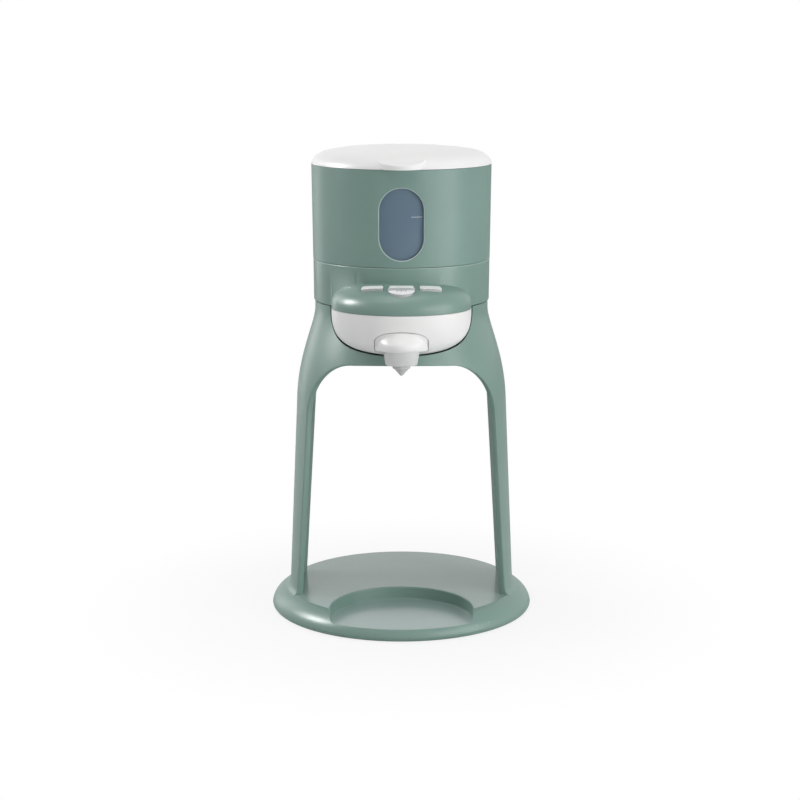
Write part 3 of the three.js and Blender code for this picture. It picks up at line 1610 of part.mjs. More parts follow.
function hose(...places) {
  const curve = new THREE.CatmullRomCurve3(places.map((place) => new THREE.Vector3(...place)));
  return swept(curve, hoseRadius, hoseBore, Math.ceil(curve.getLength() / hoseStep), hoseSides);
}

const barbRoot = seatGap + pinRib / 2;
const socketTip = socketBottom - barbLength;
addPiece('chassis_floor', chassisFloor(), sage);
const chassisScrewHead = floorBottom - seatGap - screwHeadHeight;
addEach('chassis_screw', chassisBossPlaces, ([x, y]) => screw(x, y, chassisScrewHead), steel);
addPiece('pump', pump(), darkPlastic);
addPiece('flow_heater', flowHeater(), aluminium);
addPiece('power_board', powerBoard(), boardGreen);
addPiece('hose_inlet', hose(
  [0, 0, socketBottom - barbRoot],
  [0, 0, socketTip],
  [0, 0, socketTip - hoseStraight],
  [hoseInletShift / 2, hoseInletShift, socketTip - hoseInletDrop / 2],
  [-hoseInletShift / 2, pumpY, pumpSide[2] + hoseInletShift],
  [pumpSideTip[0] + hoseStraight / 2, pumpY, pumpSide[2]],
  [pumpSideTip[0], pumpY, pumpSide[2]],
  [pumpSide[0] + barbRoot, pumpY, pumpSide[2]],
), silicone);
addPiece('hose_pump', hose(
  [-pumpX, pumpY, pumpTop + barbRoot],
  [-pumpX, pumpY, pumpTop + barbLength],
  [-pumpX, pumpY, pumpTop + barbLength + hoseStraight],
  [-hoseLoopX, hoseLoopY, pumpTop + hoseLoopTop],
  [0, hoseLoopY + hoseInletShift, pumpTop + hoseLoopTop + hoseInletShift],
  [hoseLoopX, hoseLoopY - hoseInletShift, pumpTop + hoseLoopTop + hoseInletShift],
  [heaterX, heaterY, heaterTop + barbLength + hoseStraight],
  [heaterX, heaterY, heaterTop + barbLength],
  [heaterX, heaterY, heaterTop + barbRoot],
), silicone);
addPiece('hose_outlet', hose(
  [heaterBarbX, heaterFront[1] - barbRoot, heaterFront[2]],
  [heaterBarbX, heaterFrontTip[1], heaterFront[2]],
  [heaterBarbX, heaterFrontTip[1] - hoseStraight, heaterFront[2]],
  [hoseFrontX, -hoseFrontY, (heaterFront[2] + outletBarbHeight) / 2],
  [0, -headBack, outletBarbHeight],
  [0, -outletCentre + outletBossRadius + barbLength + hoseStraight, outletBarbHeight],
  [0, -outletCentre + outletBossRadius + barbLength, outletBarbHeight],
  [0, -outletCentre + outletBossRadius + barbRoot, outletBarbHeight],
), silicone);

export default part;
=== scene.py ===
# %% [markdown]
# # A baby formula maker
#
# The real machine stands on a round base with a recess for the bottle. A bell-shaped stand on two legs
# carries the body, which holds the water tank and its white lid, and a head with the powder drawer leans
# out over the bottle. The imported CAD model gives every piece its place, and this script gives the pieces
# that show their smooth, moulded surfaces and their finishes.

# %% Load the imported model
import math

import bmesh
import bpy
import numpy as np
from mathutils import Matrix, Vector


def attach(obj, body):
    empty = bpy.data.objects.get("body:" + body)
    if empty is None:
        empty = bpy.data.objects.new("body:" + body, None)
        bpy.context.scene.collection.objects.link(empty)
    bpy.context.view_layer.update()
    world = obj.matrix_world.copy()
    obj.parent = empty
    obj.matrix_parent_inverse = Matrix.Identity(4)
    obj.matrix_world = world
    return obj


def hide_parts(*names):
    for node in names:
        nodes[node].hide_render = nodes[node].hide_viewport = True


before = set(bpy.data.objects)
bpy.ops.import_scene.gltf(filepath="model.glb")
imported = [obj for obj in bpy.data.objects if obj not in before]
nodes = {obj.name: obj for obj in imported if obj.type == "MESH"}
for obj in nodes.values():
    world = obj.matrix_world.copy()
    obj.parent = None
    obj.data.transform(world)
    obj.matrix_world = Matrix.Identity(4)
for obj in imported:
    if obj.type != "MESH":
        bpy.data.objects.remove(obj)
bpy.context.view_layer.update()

# %% [markdown]
# ## The camera
#
# The photograph looks slightly down on the machine from straight in front. Its place comes from the way the
# round base and the lid turn into ellipses: a low camera gives flat ellipses, a high one gives round ones.
# A long lens was used, so the sides of the machine stay almost upright.

# %% Camera
camera_distance = 1.4997
camera_height = 0.4655
camera_tilt = math.radians(78.73)
camera_lens = 87.35
camera_shift = -0.0018
camera_data = bpy.data.cameras.new("camera")
camera_data.lens = camera_lens
camera_data.sensor_width = 36
camera_data.shift_x = camera_shift
camera = bpy.data.objects.new("camera", camera_data)
camera.location = (0, -camera_distance, camera_height)
camera.rotation_euler = (camera_tilt, 0, 0)
bpy.context.scene.collection.objects.link(camera)
bpy.context.scene.camera = camera
print(f"camera {camera_distance} m away, {camera_height} m high")

# %% [markdown]
# ## Drawing surfaces with arrays
#
# A moulded part is a smooth surface, and a smooth surface is a rule that turns two numbers into a point:
# how far along the outline, and how far round. All the pieces below are made from such grids of points.
# A few helpers are enough: a Bezier curve, an outline with rounded corners, a profile turned about an axis,
# an outline carried straight, and one that joins several grids into a closed mesh.

# %% Curves and outlines, in millimetres
MM = 0.001
ROUND = 192
MOST_OF_AN_EDGE = 0.47
CREASE = 40


def bezier(corners, count=24):
    """A Bezier curve: each corner weighted by its Bernstein polynomial at even shares of the way."""
    corners = np.asarray(corners, float)
    degree = len(corners) - 1
    share = np.linspace(0, 1, count)[:, None]
    weights = [math.comb(degree, k) * share**k * (1 - share) ** (degree - k) for k in range(degree + 1)]
    return sum(weight * corner for weight, corner in zip(weights, corners))


def softened(corners, radius, steps=5):
    """A closed outline whose corners are small Bezier arcs. Each arc starts and ends one radius away from
    its corner, or just short of half the edge where the edge is short."""
    here = np.asarray(corners, float)
    reach = np.broadcast_to(radius, len(here))[:, None]

    def foot(edge):
        length = np.linalg.norm(edge, axis=1, keepdims=True)
        return here + edge * np.minimum(reach / length, MOST_OF_AN_EDGE)

    start = foot(np.roll(here, 1, 0) - here)
    end = foot(np.roll(here, -1, 0) - here)
    share = np.linspace(0, 1, steps)[None, :, None]
    arcs = (1 - share) ** 2 * start[:, None] + share**2 * end[:, None]
    arcs = arcs + 2 * share * (1 - share) * here[:, None]
    return arcs.reshape(-1, here.shape[1])


def arc(x, y, radius, start, end, count):
    """Points on a circle: the centre plus the radius times the cosine and sine of evenly spaced angles."""
    angle = np.linspace(start, end, count)
    return np.stack([x + radius * np.cos(angle), y + radius * np.sin(angle)], -1)


print("a softened square has", len(softened([[0, 0], [1, 0], [1, 1], [0, 1]], 0.1)), "points")


# %% Grids of points
def turned(profile, angles=None, centre=(0, 0), ring=True):
    """A profile of radius and height turned about an upright axis: x and y are the radius times the cosine
    and sine of the angle. A ring profile closes on itself, and any other starts and ends on the axis."""
    if angles is None:
        angles = np.linspace(0, 2 * np.pi, ROUND, endpoint=False)
    radius, height = np.asarray(profile, float).T
    x = centre[0] + np.outer(np.cos(angles), radius)
    y = centre[1] + np.outer(np.sin(angles), radius)
    z = np.broadcast_to(height, x.shape)
    return np.stack([x, y, z], -1), True, ring


def quads(rows, columns, wrap_rows, wrap_columns):
    """The corners of a grid's faces: a point, the next one along, and the same two in the next row."""
    index = np.arange(rows * columns).reshape(rows, columns)
    if wrap_rows:
        index = np.vstack([index, index[:1]])
    if wrap_columns:
        index = np.hstack([index, index[:, :1]])
    return np.stack([index[:-1, :-1], index[:-1, 1:], index[1:, 1:], index[1:, :-1]], -1).reshape(-1, 4)


def smooth(mesh, crease=CREASE):
    """Shades a mesh smoothly, but keeps an edge sharp where its faces turn by more than the crease, which
    is in degrees."""
    mesh.polygons.foreach_set("use_smooth", np.ones(len(mesh.polygons), bool))
    mesh.set_sharp_from_angle(angle=math.radians(crease))


def shell(name, *grids, caps=(), crease=CREASE):
    """One closed mesh from several grids. Points that meet are merged, so that neighbouring grids join,
    and the faces are then turned outwards."""
    blocks, faces, start = [], [], 0
    for grid, wrap_rows, wrap_columns in grids:
        rows, columns = grid.shape[:2]
        blocks.append(grid.reshape(-1, 3) * MM)
        faces.append(quads(rows, columns, wrap_rows, wrap_columns) + start)
        start += rows * columns
    points, corners = np.vstack(blocks), np.vstack(faces)
    mesh = bpy.data.meshes.new(name)
    mesh.vertices.add(len(points))
    mesh.vertices.foreach_set("co", points.ravel())
    mesh.loops.add(corners.size)
    mesh.loops.foreach_set("vertex_index", corners.ravel())
    mesh.polygons.add(len(corners))
    mesh.polygons.foreach_set("loop_start", np.arange(0, corners.size, 4))
    mesh.update(calc_edges=True)
    work = bmesh.new()
    work.from_mesh(mesh)
    for cap in caps:
        work.faces.new([work.verts.new(point) for point in cap * MM])
    bmesh.ops.remove_doubles(work, verts=work.verts, dist=2e-6)
    bmesh.ops.dissolve_degenerate(work, edges=work.edges, dist=1e-6)
    loose = [edge for edge in work.edges if not edge.link_faces]
    bmesh.ops.delete(work, geom=loose, context="EDGES")
    bmesh.ops.recalc_face_normals(work, faces=work.faces)
    open_edges = sum(len(edge.link_faces) != 2 for edge in work.edges)
    work.to_mesh(mesh)
    work.free()
    smooth(mesh, crease)
    piece = bpy.data.objects.new(name, mesh)
    bpy.context.scene.collection.objects.link(piece)
    print(f"{name}: {len(mesh.polygons)} faces, {open_edges} open edges")
    return piece


def prism(name, outline, axis, ends):
    """A flat outline carried straight along one axis (0, 1 or 2 for x, y or z) between two ends, and closed
    there. The outline's two columns are the other two axes, in their own order."""
    rows = np.stack([np.insert(np.asarray(outline, float), axis, end, axis=1) for end in ends])
    return shell(name, (rows, False, True), caps=list(rows))


def combine(piece, tool, operation="DIFFERENCE"):
    """Cuts the tool's solid out of a piece, or joins it to the piece, and then takes the tool away."""
    modifier = piece.modifiers.new("combine", "BOOLEAN")
    modifier.object = tool
    modifier.operation = operation
    modifier.solver = "EXACT"
    graph = bpy.context.evaluated_depsgraph_get()
    mesh = bpy.data.meshes.new_from_object(piece.evaluated_get(graph))
    piece.modifiers.clear()
    piece.data = mesh
    smooth(mesh)
    bpy.data.objects.remove(tool)
    print(f"{piece.name}: {len(mesh.polygons)} faces after the {operation.lower()}")
    return piece


def place(piece, material, body, slot, *replaced, patches=()):
    """Paints a piece, and its patches in their own materials. The piece then rides on its body and stands for
    its CAD nodes. The slot is not used."""
    piece.data.materials.append(material)
    for patch_material, chosen in patches:
        refinish(piece, patch_material, chosen)
    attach(piece, body)
    if replaced:
        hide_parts(*replaced)
    return piece


def faces_of(piece, field):
    """The centre or the normal of every face, as an array: millimetres for centres."""
    values = np.empty(len(piece.data.polygons) * 3)
    piece.data.polygons.foreach_get(field, values)
    return values.reshape(-1, 3) / (MM if field == "center" else 1)


def refinish(piece, material, chosen):
    """Gives the chosen faces of a piece one more material, and leaves the others as they are."""
    now = np.empty(len(piece.data.polygons), np.int32)
    piece.data.polygons.foreach_get("material_index", now)
    now[chosen] = len(piece.data.materials)
    piece.data.materials.append(material)
    piece.data.polygons.foreach_set("material_index", now)
    print(f"{piece.name}: {chosen.sum()} faces in {material.name}")


# %% [markdown]
# ## Finishes
#
# Moulded plastic is never one flat colour. Under a strong light it has a fine grain from the mould, faint
# clouds where the melt cooled unevenly, and a polish that wanders a little. One node group makes these
# fields from the place in the object, and each material mixes them in its own strength. A second group
# stretches the grain along one direction, for drawn metal.

# %% The grain group
def node_group(name, outputs):
    """A new node group with a Vector, a Grain size and a Cloud size, and the named outputs."""
    group = bpy.data.node_groups.new(name, "ShaderNodeTree")
    group.interface.new_socket("Vector", in_out="INPUT", socket_type="NodeSocketVector")
    for label, start in (("Grain size", 900.0), ("Cloud size", 18.0)):
        socket = group.interface.new_socket(label, in_out="INPUT", socket_type="NodeSocketFloat")
        socket.default_value = start
    for label in outputs:
        group.interface.new_socket(label, in_out="OUTPUT", socket_type="NodeSocketFloat")
    entry = group.nodes.new("NodeGroupInput")
    leave = group.nodes.new("NodeGroupOutput")
    return group, entry, leave


def noise(tree, vector, scale, detail=3.0, roughness=0.55):
    """A noise texture node, whose scale may be a number or another node's socket."""
    texture = tree.nodes.new("ShaderNodeTexNoise")
    texture.inputs["Detail"].default_value = detail
    texture.inputs["Roughness"].default_value = roughness
    tree.links.new(vector, texture.inputs["Vector"])
    if isinstance(scale, (int, float)):
        texture.inputs["Scale"].default_value = scale
    else:
        tree.links.new(scale, texture.inputs["Scale"])
    return texture.outputs["Fac"]


FIELDS = ("Grain", "Cloud", "Rub")
moulding, entry, leave = node_group("moulding", FIELDS)
where, grain, cloud = (entry.outputs[label] for label in ("Vector", "Grain size", "Cloud size"))
moulding.links.new(noise(moulding, where, grain, 2), leave.inputs["Grain"])
moulding.links.new(noise(moulding, where, cloud, 4), leave.inputs["Cloud"])
moulding.links.new(noise(moulding, where, 55, 6, 0.7), leave.inputs["Rub"])

brushing, entry, leave = node_group("brushing", FIELDS)
where, grain, cloud = (entry.outputs[label] for label in ("Vector", "Grain size", "Cloud size"))
stretch = brushing.nodes.new("ShaderNodeVectorMath")
stretch.operation = "MULTIPLY"
stretch.inputs[1].default_value = (0.06, 1.0, 1.0)
brushing.links.new(where, stretch.inputs[0])
brushing.links.new(noise(brushing, stretch.outputs[0], grain, 2), leave.inputs["Grain"])
brushing.links.new(noise(brushing, where, cloud, 3), leave.inputs["Cloud"])
brushing.links.new(noise(brushing, stretch.outputs[0], 400, 3), leave.inputs["Rub"])
print("node groups:", [group.name for group in bpy.data.node_groups])


# %% A material from the group
def colour(red, green, blue):
    """A colour given as screen values from 0 to 255, turned into the linear values that light adds up in."""
    share = np.array([red, green, blue]) / 255
    linear = np.where(share <= 0.04045, share / 12.92, ((share + 0.055) / 1.055) ** 2.4)
    return (*linear.tolist(), 1.0)


def ranged(tree, value, low, high):
    """A field around a half stretched to run between two values."""
    spread = tree.nodes.new("ShaderNodeMapRange")
    spread.inputs["From Min"].default_value = 0.3
    spread.inputs["From Max"].default_value = 0.7
    spread.inputs["To Min"].default_value = low
    spread.inputs["To Max"].default_value = high
    tree.links.new(value, spread.inputs["Value"])
    return spread.outputs["Result"]


def finish(name, dark, light, rough, bump=0.05, grain=900.0, cloud=18.0, group=moulding, **plain):
    """A Principled material: the clouds mix two near colours, the rubbed field moves the roughness within
    its range, and the grain drives a bump. The plain values go straight onto the shader's own sockets."""
    material = bpy.data.materials.new(name)
    material.use_nodes = True
    tree = material.node_tree
    shader = tree.nodes["Principled BSDF"]
    where = tree.nodes.new("ShaderNodeTexCoord")
    fields = tree.nodes.new("ShaderNodeGroup")
    fields.node_tree = group
    fields.inputs["Grain size"].default_value = grain
    fields.inputs["Cloud size"].default_value = cloud
    tree.links.new(where.outputs["Object"], fields.inputs["Vector"])
    mix = tree.nodes.new("ShaderNodeMix")
    mix.data_type = "RGBA"
    mix.inputs["A"].default_value = colour(*dark)
    mix.inputs["B"].default_value = colour(*light)
    tree.links.new(ranged(tree, fields.outputs["Cloud"], 0, 1), mix.inputs["Factor"])
    tree.links.new(mix.outputs["Result"], shader.inputs["Base Color"])
    tree.links.new(ranged(tree, fields.outputs["Rub"], *rough), shader.inputs["Roughness"])
    relief = tree.nodes.new("ShaderNodeBump")
    relief.inputs["Strength"].default_value = bump
    relief.inputs["Distance"].default_value = 0.0002
    tree.links.new(fields.outputs["Grain"], relief.inputs["Height"])
    tree.links.new(relief.outputs["Normal"], shader.inputs["Normal"])
    for socket, value in plain.items():
        shader.inputs[socket.replace("_", " ")].default_value = value
    return material


# %% The machine's finishes
plain_shine = {"Specular_IOR_Level": 0.5}
high_shine = {"Specular_IOR_Level": 0.7}
sage_satin = finish("sage_satin", (123, 152, 144), (128, 158, 149), (0.38, 0.44), 0.06, **plain_shine)
sage_gloss = finish("sage_gloss", (122, 151, 142), (126, 155, 146), (0.34, 0.38), 0.02, **plain_shine)
# Painted reflection: the plateau's paler, greyer green stands in for the white surroundings that it mirrors
# at a grazing angle; its low roughness is real polish.
sage_polish_painted_reflection = finish("sage_polish_painted_reflection", (140, 163, 157), (144, 167, 161), (0.2, 0.24), 0.02, **high_shine)
# Painted highlight: the window rim's pale green stands in for light caught by the window's rounded edge.
sage_painted_rim_highlight = finish("sage_painted_rim_highlight", (176, 194, 190), (184, 202, 198), (0.3, 0.36), 0.02)
# Painted highlight: the band chamfer's paler green stands in for light caught by the chamfer.
sage_painted_edge_highlight = finish("sage_painted_edge_highlight", (158, 184, 176), (164, 190, 182), (0.3, 0.36), 0.02)
# Painted reflection: the recess floor's paler green stands in for light that it mirrors from above, and
# lightens the shade in the recess.
sage_pale_painted_reflection = finish("sage_pale_painted_reflection", (160, 181, 176), (164, 185, 180), (0.2, 0.24), 0.02, **high_shine)
white_satin = finish("white_satin", (245, 245, 245), (248, 248, 247), (0.34, 0.42), 0.06)
button_white = finish("button_white", (253, 254, 253), (254, 255, 254), (0.42, 0.5), 0.02)
# Painted shade: the spout's greyer white stands in for the shade under the drawer's lip.
spout_painted_shade = finish("spout_painted_shade", (218, 219, 219), (223, 224, 224), (0.3, 0.38), 0.05)
# Painted shade: the buttons' grey sides stand in for the shade on their steep walls.
button_painted_side_shade = finish("button_painted_side_shade", (176, 180, 180), (186, 190, 190), (0.4, 0.5), 0.05)
white_inner = finish("white_inner", (228, 229, 229), (234, 235, 235), (0.4, 0.5), 0.12)
smoked_tank = finish(
    "smoked_tank", (122, 145, 164), (128, 152, 171), (0.1, 0.16), 0.02, cloud=9.0,
    Transmission_Weight=0.25, IOR=1.5,
)
grey_silicone = finish("grey_silicone", (198, 199, 200), (206, 207, 208), (0.45, 0.55), 0.1)
black_rubber = finish("black_rubber", (52, 55, 56), (60, 63, 64), (0.7, 0.85), 0.35, 1500.0)
dark_moulding = finish("dark_moulding", (58, 62, 64), (66, 70, 72), (0.5, 0.62), 0.25)
bright_steel = finish(
    "bright_steel", (182, 184, 186), (200, 202, 204), (0.24, 0.36), 0.1, 1800.0, group=brushing, Metallic=1.0,
)
cast_aluminium = finish(
    "cast_aluminium", (165, 168, 171), (182, 185, 188), (0.42, 0.55), 0.3, 1200.0, Metallic=1.0,
)
indicator_glow = finish("indicator_glow", (112, 119, 117), (124, 131, 129), (0.2, 0.3), 0.02)
level_ink = finish("level_ink", (176, 186, 196), (186, 196, 206), (0.4, 0.5), 0.05)
button_mark = finish("button_mark", (84, 88, 90), (94, 98, 100), (0.4, 0.5), 0.05)
print(len(bpy.data.materials), "materials so far")

# %% [markdown]
# A printed board is dark green lacquer over copper tracks. The tracks are drawn by a brick pattern, whose
# thin mortar lines run in two directions and show as a paler green.

# %% Board finish
lacquered_board = finish("lacquered_board", (24, 84, 56), (30, 96, 64), (0.3, 0.42), 0.2)
board_tree = lacquered_board.node_tree
tracks = board_tree.nodes.new("ShaderNodeTexBrick")
tracks.inputs["Scale"].default_value = 120
tracks.inputs["Mortar Size"].default_value = 0.05
tracks.inputs["Color1"].default_value = colour(24, 84, 56)
tracks.inputs["Color2"].default_value = colour(28, 92, 62)
tracks.inputs["Mortar"].default_value = colour(70, 140, 92)
board_where = board_tree.nodes.new("ShaderNodeTexCoord")
board_tree.links.new(board_where.outputs["Object"], tracks.inputs["Vector"])
board_tree.links.new(tracks.outputs["Color"], board_tree.nodes["Principled BSDF"].inputs["Base Color"])
print("tracks on the board")

# %% [markdown]
# ## The base
#
# The base is a dish turned upside down: a wide rounded rim round a flat plateau, with the bottle's recess
# sunk into its front. The recess is not centred, so turning a profile about the axis can't make it. The
# surface is drawn along rays instead, which start at the recess and run out to the rim, and every point
# takes its height from its own distance to the axis. A ray also stops where the plateau ends, so that the
# crease there lies on a row of points and stays crisp.

# %% Base sizes and the rim's curve
base_radius = 103.0
foot_height = 0.3
rim_inset = 7.0
rim_widest = 4.5
rim_shoulder = [101.5, 13.2]
rim_heel = 102.7
plateau_radius = 89.8
plateau_height = 17.8
seat_radius = 55.0
seat_setback = 69.0
seat_floor = 8.5
seat_lip = 3.4
seat_corner = 4.0
seat_edge = 0.9
seat_fillet = 0.9
cover_radius = 93.4
cover_ceiling = 4.2
flat_slack = 0.05

rim_edge = [base_radius, rim_widest]
rim_curve = bezier([rim_edge, rim_shoulder, [plateau_radius, plateau_height]], 80)
rim_under = bezier([[base_radius - rim_inset, foot_height], [rim_heel, foot_height], rim_edge], 12)


def base_height(radius):
    """The height of the base's top at a distance from the axis, read off the rim's curve."""
    return np.interp(radius, rim_curve[::-1, 0], rim_curve[::-1, 1])


def seat_ring(grow):
    """The recess's outline, moved outwards by grow: the bottle's arc and the lip's arc, and two rounded
    corners where they meet."""
    inner = seat_radius - seat_corner
    lip = base_radius - seat_lip - seat_corner
    y = (inner**2 - lip**2 - seat_setback**2) / (2 * seat_setback)
    x = math.sqrt(lip**2 - y**2)
    lip_angle, seat_angle = math.atan2(y, x), math.atan2(y + seat_setback, x)
    parts = [
        arc(0, -seat_setback, seat_radius + grow, seat_angle, math.pi - seat_angle, 120),
        arc(-x, y, seat_corner + grow, math.pi - seat_angle, math.pi - lip_angle, 16),
        arc(0, 0, lip + seat_corner + grow, math.pi - lip_angle, 2 * math.pi + lip_angle, 120),
        arc(x, y, seat_corner + grow, lip_angle, seat_angle, 16),
    ]
    return np.vstack(parts)


# %% The base's shell
seat_centre = np.array([0, -60.0])


def along_rays(direction, radius):
    """How far from the recess's centre each ray meets a circle about the axis: the root of a quadratic."""
    part = direction @ seat_centre
    return -part + np.sqrt(part**2 - seat_centre @ seat_centre + radius**2)


edge_ring = seat_ring(seat_edge)
ray = edge_ring - seat_centre
ray_length = np.linalg.norm(ray, axis=1)
ray = ray / ray_length[:, None]
crease_length = np.maximum(ray_length, along_rays(ray, plateau_radius))
share = np.linspace(0, 1, 40)[:, None]
flat_reach = ray_length + (crease_length - ray_length) * share
flat_xy = seat_centre + flat_reach[..., None] * ray
flat_grid = np.dstack([flat_xy, base_height(np.linalg.norm(flat_xy, axis=-1))])

crease_radius = np.linalg.norm(seat_centre + crease_length[:, None] * ray, axis=1)
curve_share = np.linspace(0, 1, len(rim_curve))
first_share = np.interp(crease_radius, rim_curve[::-1, 0], curve_share[::-1])
rim_share = first_share * (1 - np.linspace(0, 1, 28)[:, None])
rim_radius = np.interp(rim_share, curve_share, rim_curve[:, 0])
rim_reach = np.maximum(along_rays(ray, rim_radius), crease_length)
rim_xy = seat_centre + rim_reach[..., None] * ray
rim_grid = np.dstack([rim_xy, np.interp(rim_share, curve_share, rim_curve[:, 1])])

bend = np.linspace(0, np.pi / 2, 7)
edge_height = base_height(np.linalg.norm(edge_ring, axis=1))
wall_rows = [
    np.column_stack([
        seat_ring(seat_edge * (1 - math.sin(turn))),
        edge_height - seat_edge * (1 - math.cos(turn)),
    ])
    for turn in bend
] + [
    np.column_stack([
        seat_ring(-seat_fillet * (1 - math.cos(turn))),
        np.full(len(ray), seat_floor + seat_fillet * (1 - math.sin(turn))),
    ])
    for turn in bend
]
floor_ring = wall_rows[-1][:, :2] - seat_centre
floor_rows = [
    np.column_stack([seat_centre + floor_ring * part, np.full(len(ray), seat_floor)])
    for part in np.linspace(1, 0, 14)
]
outer_angle = np.arctan2(rim_grid[-1, :, 1], rim_grid[-1, :, 0])
under_profile = np.vstack([
    rim_under[::-1],
    [[cover_radius, foot_height], [cover_radius, cover_ceiling], [0, cover_ceiling]],
])
base_shell = shell(
    "base_shell",
    (flat_grid, False, True),
    (rim_grid, False, True),
    (np.stack(wall_rows), False, True),
    (np.stack(floor_rows), False, True),
    turned(under_profile, outer_angle, ring=False),
    crease=18,
)
height = faces_of(base_shell, "center")[:, 2]
# The plateau and the recess floor take paler greens, which are painted reflection.
patches = [
    (sage_polish_painted_reflection, height > plateau_height - flat_slack),
    (sage_pale_painted_reflection, np.abs(height - seat_floor) < flat_slack),
]
place(base_shell, sage_gloss, "housing", "sage_plastic", "base_tray", patches=patches)

# %% [markdown]
# ## The stand
#
# The stand is a bell with two tall arches cut from it, which leaves two curved legs. Its outer and inner
# faces are turned curves, and the arch is an outline on the unrolled bell, given as an angle from the front
# and a height. Lines are drawn from the arch's edge to the side and to the top of the bell, so the edge
# itself is a row of points. That lets the edge be rounded properly, as it is on the moulded part. One
# quarter is worked out and then mirrored. The collar's top lies a little lower than the CAD solid's, so
# that the seam above it shows as a thin dark line.

# %% Stand sizes and curves
stand_top = 247.85
seam_drop = 0.5
collar_radius = 67.1
collar_wall = 3.2
leg_radius = 81.9
leg_top = 172.0
leg_wall = 4.4
foot_radius = 88.3
foot_top = 27.3
foot_flange = 93.0
foot_sink = 15.6
arch_edge = 1.0
seam_round = 0.35
shoulder_pull = 1.5
shoulder_rise = 34
collar_turn = 229.3
collar_foot = 242
flare_lift = 0.3
overlap = 1.0
arch_foot_angle = 66.8
arch_shoulder = [61.7, 163]
arch_corner = [arch_shoulder, [60.6, 184], [46, 206], [28, 206]]
arch_crown = [arch_corner[-1], [16, 207.3], [0, 207.3]]
foot_steps = 6
side_steps = 60
corner_steps = 34


def bell(collar, leg, count):
    """The bell's shoulder: a Bezier curve from the leg's top to the upright collar."""
    pull = [leg - shoulder_pull, leg_top + shoulder_rise]
    return bezier([[leg, leg_top], pull, [collar, collar_turn], [collar, collar_foot]], count)


flare_start = [foot_flange, foot_sink + overlap]
flare_pull = [foot_radius + flare_lift, plateau_height + flare_lift]
flare = bezier([flare_start, flare_pull, [foot_radius, foot_top]], 14)
bell_outer = np.vstack([
    [[foot_flange, foot_sink - overlap]],
    flare,
    bell(collar_radius, leg_radius, 60),
    [[collar_radius, stand_top + overlap]],
])
bell_inner = np.vstack([
    [[foot_radius - leg_wall, foot_sink - overlap]],
    bell(collar_radius - collar_wall, leg_radius - leg_wall, 60),
    [[collar_radius - collar_wall, stand_top + overlap]],
])
arch_foot = [arch_foot_angle, plateau_height]
arch_half = np.vstack([
    np.linspace([arch_foot_angle, foot_sink], arch_foot, foot_steps)[:-1],
    np.linspace(arch_foot, arch_shoulder, side_steps)[:-1],
    bezier(arch_corner, 60)[:-1],
    bezier(arch_crown, 30),
])
print(f"arch outline of {len(arch_half)} points, crown at {arch_half[-1, 1]} mm")


# %% The stand's quarter
seam_height = stand_top - seam_drop
quarter_turn = 90.0
unrolled_radius = 80


def quarter_edge():
    """For every arch point, the point of the side or top edge that its line runs to: straight across for
    the leg, then up the side, then along the top."""
    height = arch_half[:, 1]
    legs = (height <= arch_shoulder[1]).sum()
    corner = foot_steps + side_steps - 2 + corner_steps
    count = len(arch_half)
    end = np.column_stack([np.full(count, quarter_turn), height])
    rise = np.linspace(0, 1, corner - legs + 2)[1:]
    end[legs:corner + 1, 1] = arch_shoulder[1] + (seam_height - arch_shoulder[1]) * rise
    run = np.linspace(0, 1, count - corner)[1:]
    end[corner + 1:] = np.column_stack([quarter_turn * (1 - run), np.full(len(run), seam_height)])
    return end


def on_bell(flat, depth, inner):
    """Unrolled points put back on the bell: the radius comes from the outer or inner curve at that height,
    less a depth, and the angle is counted from the front."""
    curve = bell_inner if inner else bell_outer
    radius = np.interp(flat[..., 1], curve[:, 1], curve[:, 0]) - depth
    angle = np.radians(flat[..., 0])
    return np.stack([radius * np.sin(angle), -radius * np.cos(angle), flat[..., 1]], -1)


millimetres_per_degree = np.pi / 180 * unrolled_radius
tangent = np.gradient(arch_half * [millimetres_per_degree, 1], axis=0)
tangent[-1] = [-1, 0]
tangent[:foot_steps] = [0, 1]
normal = np.column_stack([tangent[:, 1], -tangent[:, 0]])
normal = normal / np.linalg.norm(normal, axis=1, keepdims=True) / [millimetres_per_degree, 1]
normal = np.abs(normal)
side_end = quarter_edge()


def inset_arch(distance):
    """The arch's outline moved into the bell's wall by a distance, at right angles to itself."""
    return arch_half + normal * distance


def wall_rows_between(distance, inner, count=26):
    """Rows from the arch's edge to the side and the top, close together near the edge."""
    steps = np.linspace(0, 1, count)[:, None, None] ** 1.25
    start = inset_arch(distance)
    return on_bell(start + (side_end - start) * steps, 0, inner)


edge_turn = np.linspace(0, np.pi / 2, 6)
edge_outer, edge_inner = (
    np.stack([
        on_bell(inset_arch(arch_edge * (1 - math.sin(turn))), sign * arch_edge * (1 - math.cos(turn)), inner)
        for turn in edge_turn
    ])
    for sign, inner in ((1, False), (-1, True))
)
quarter = np.concatenate([
    wall_rows_between(arch_edge, False)[::-1],
    edge_outer[1:],
    edge_inner[::-1],
    wall_rows_between(arch_edge, True)[1:],
])
top_columns = np.isclose(side_end[:, 1], seam_height)
top_rows = np.stack([quarter[0, top_columns], quarter[-1, top_columns]])
foot_row = quarter[:, 0]
mirrors = [np.array([x, y, 1]) for x in (1, -1) for y in (1, -1)]
stand_shell = shell(
    "stand_shell",
    *[(quarter * mirror, False, False) for mirror in mirrors],
    *[(top_rows * mirror, False, False) for mirror in mirrors],
    caps=[
        np.vstack([foot_row * [side, 1, 1], (foot_row[::-1] * [side, -1, 1])[1:-1]])
        for side in (1, -1)
    ],
)

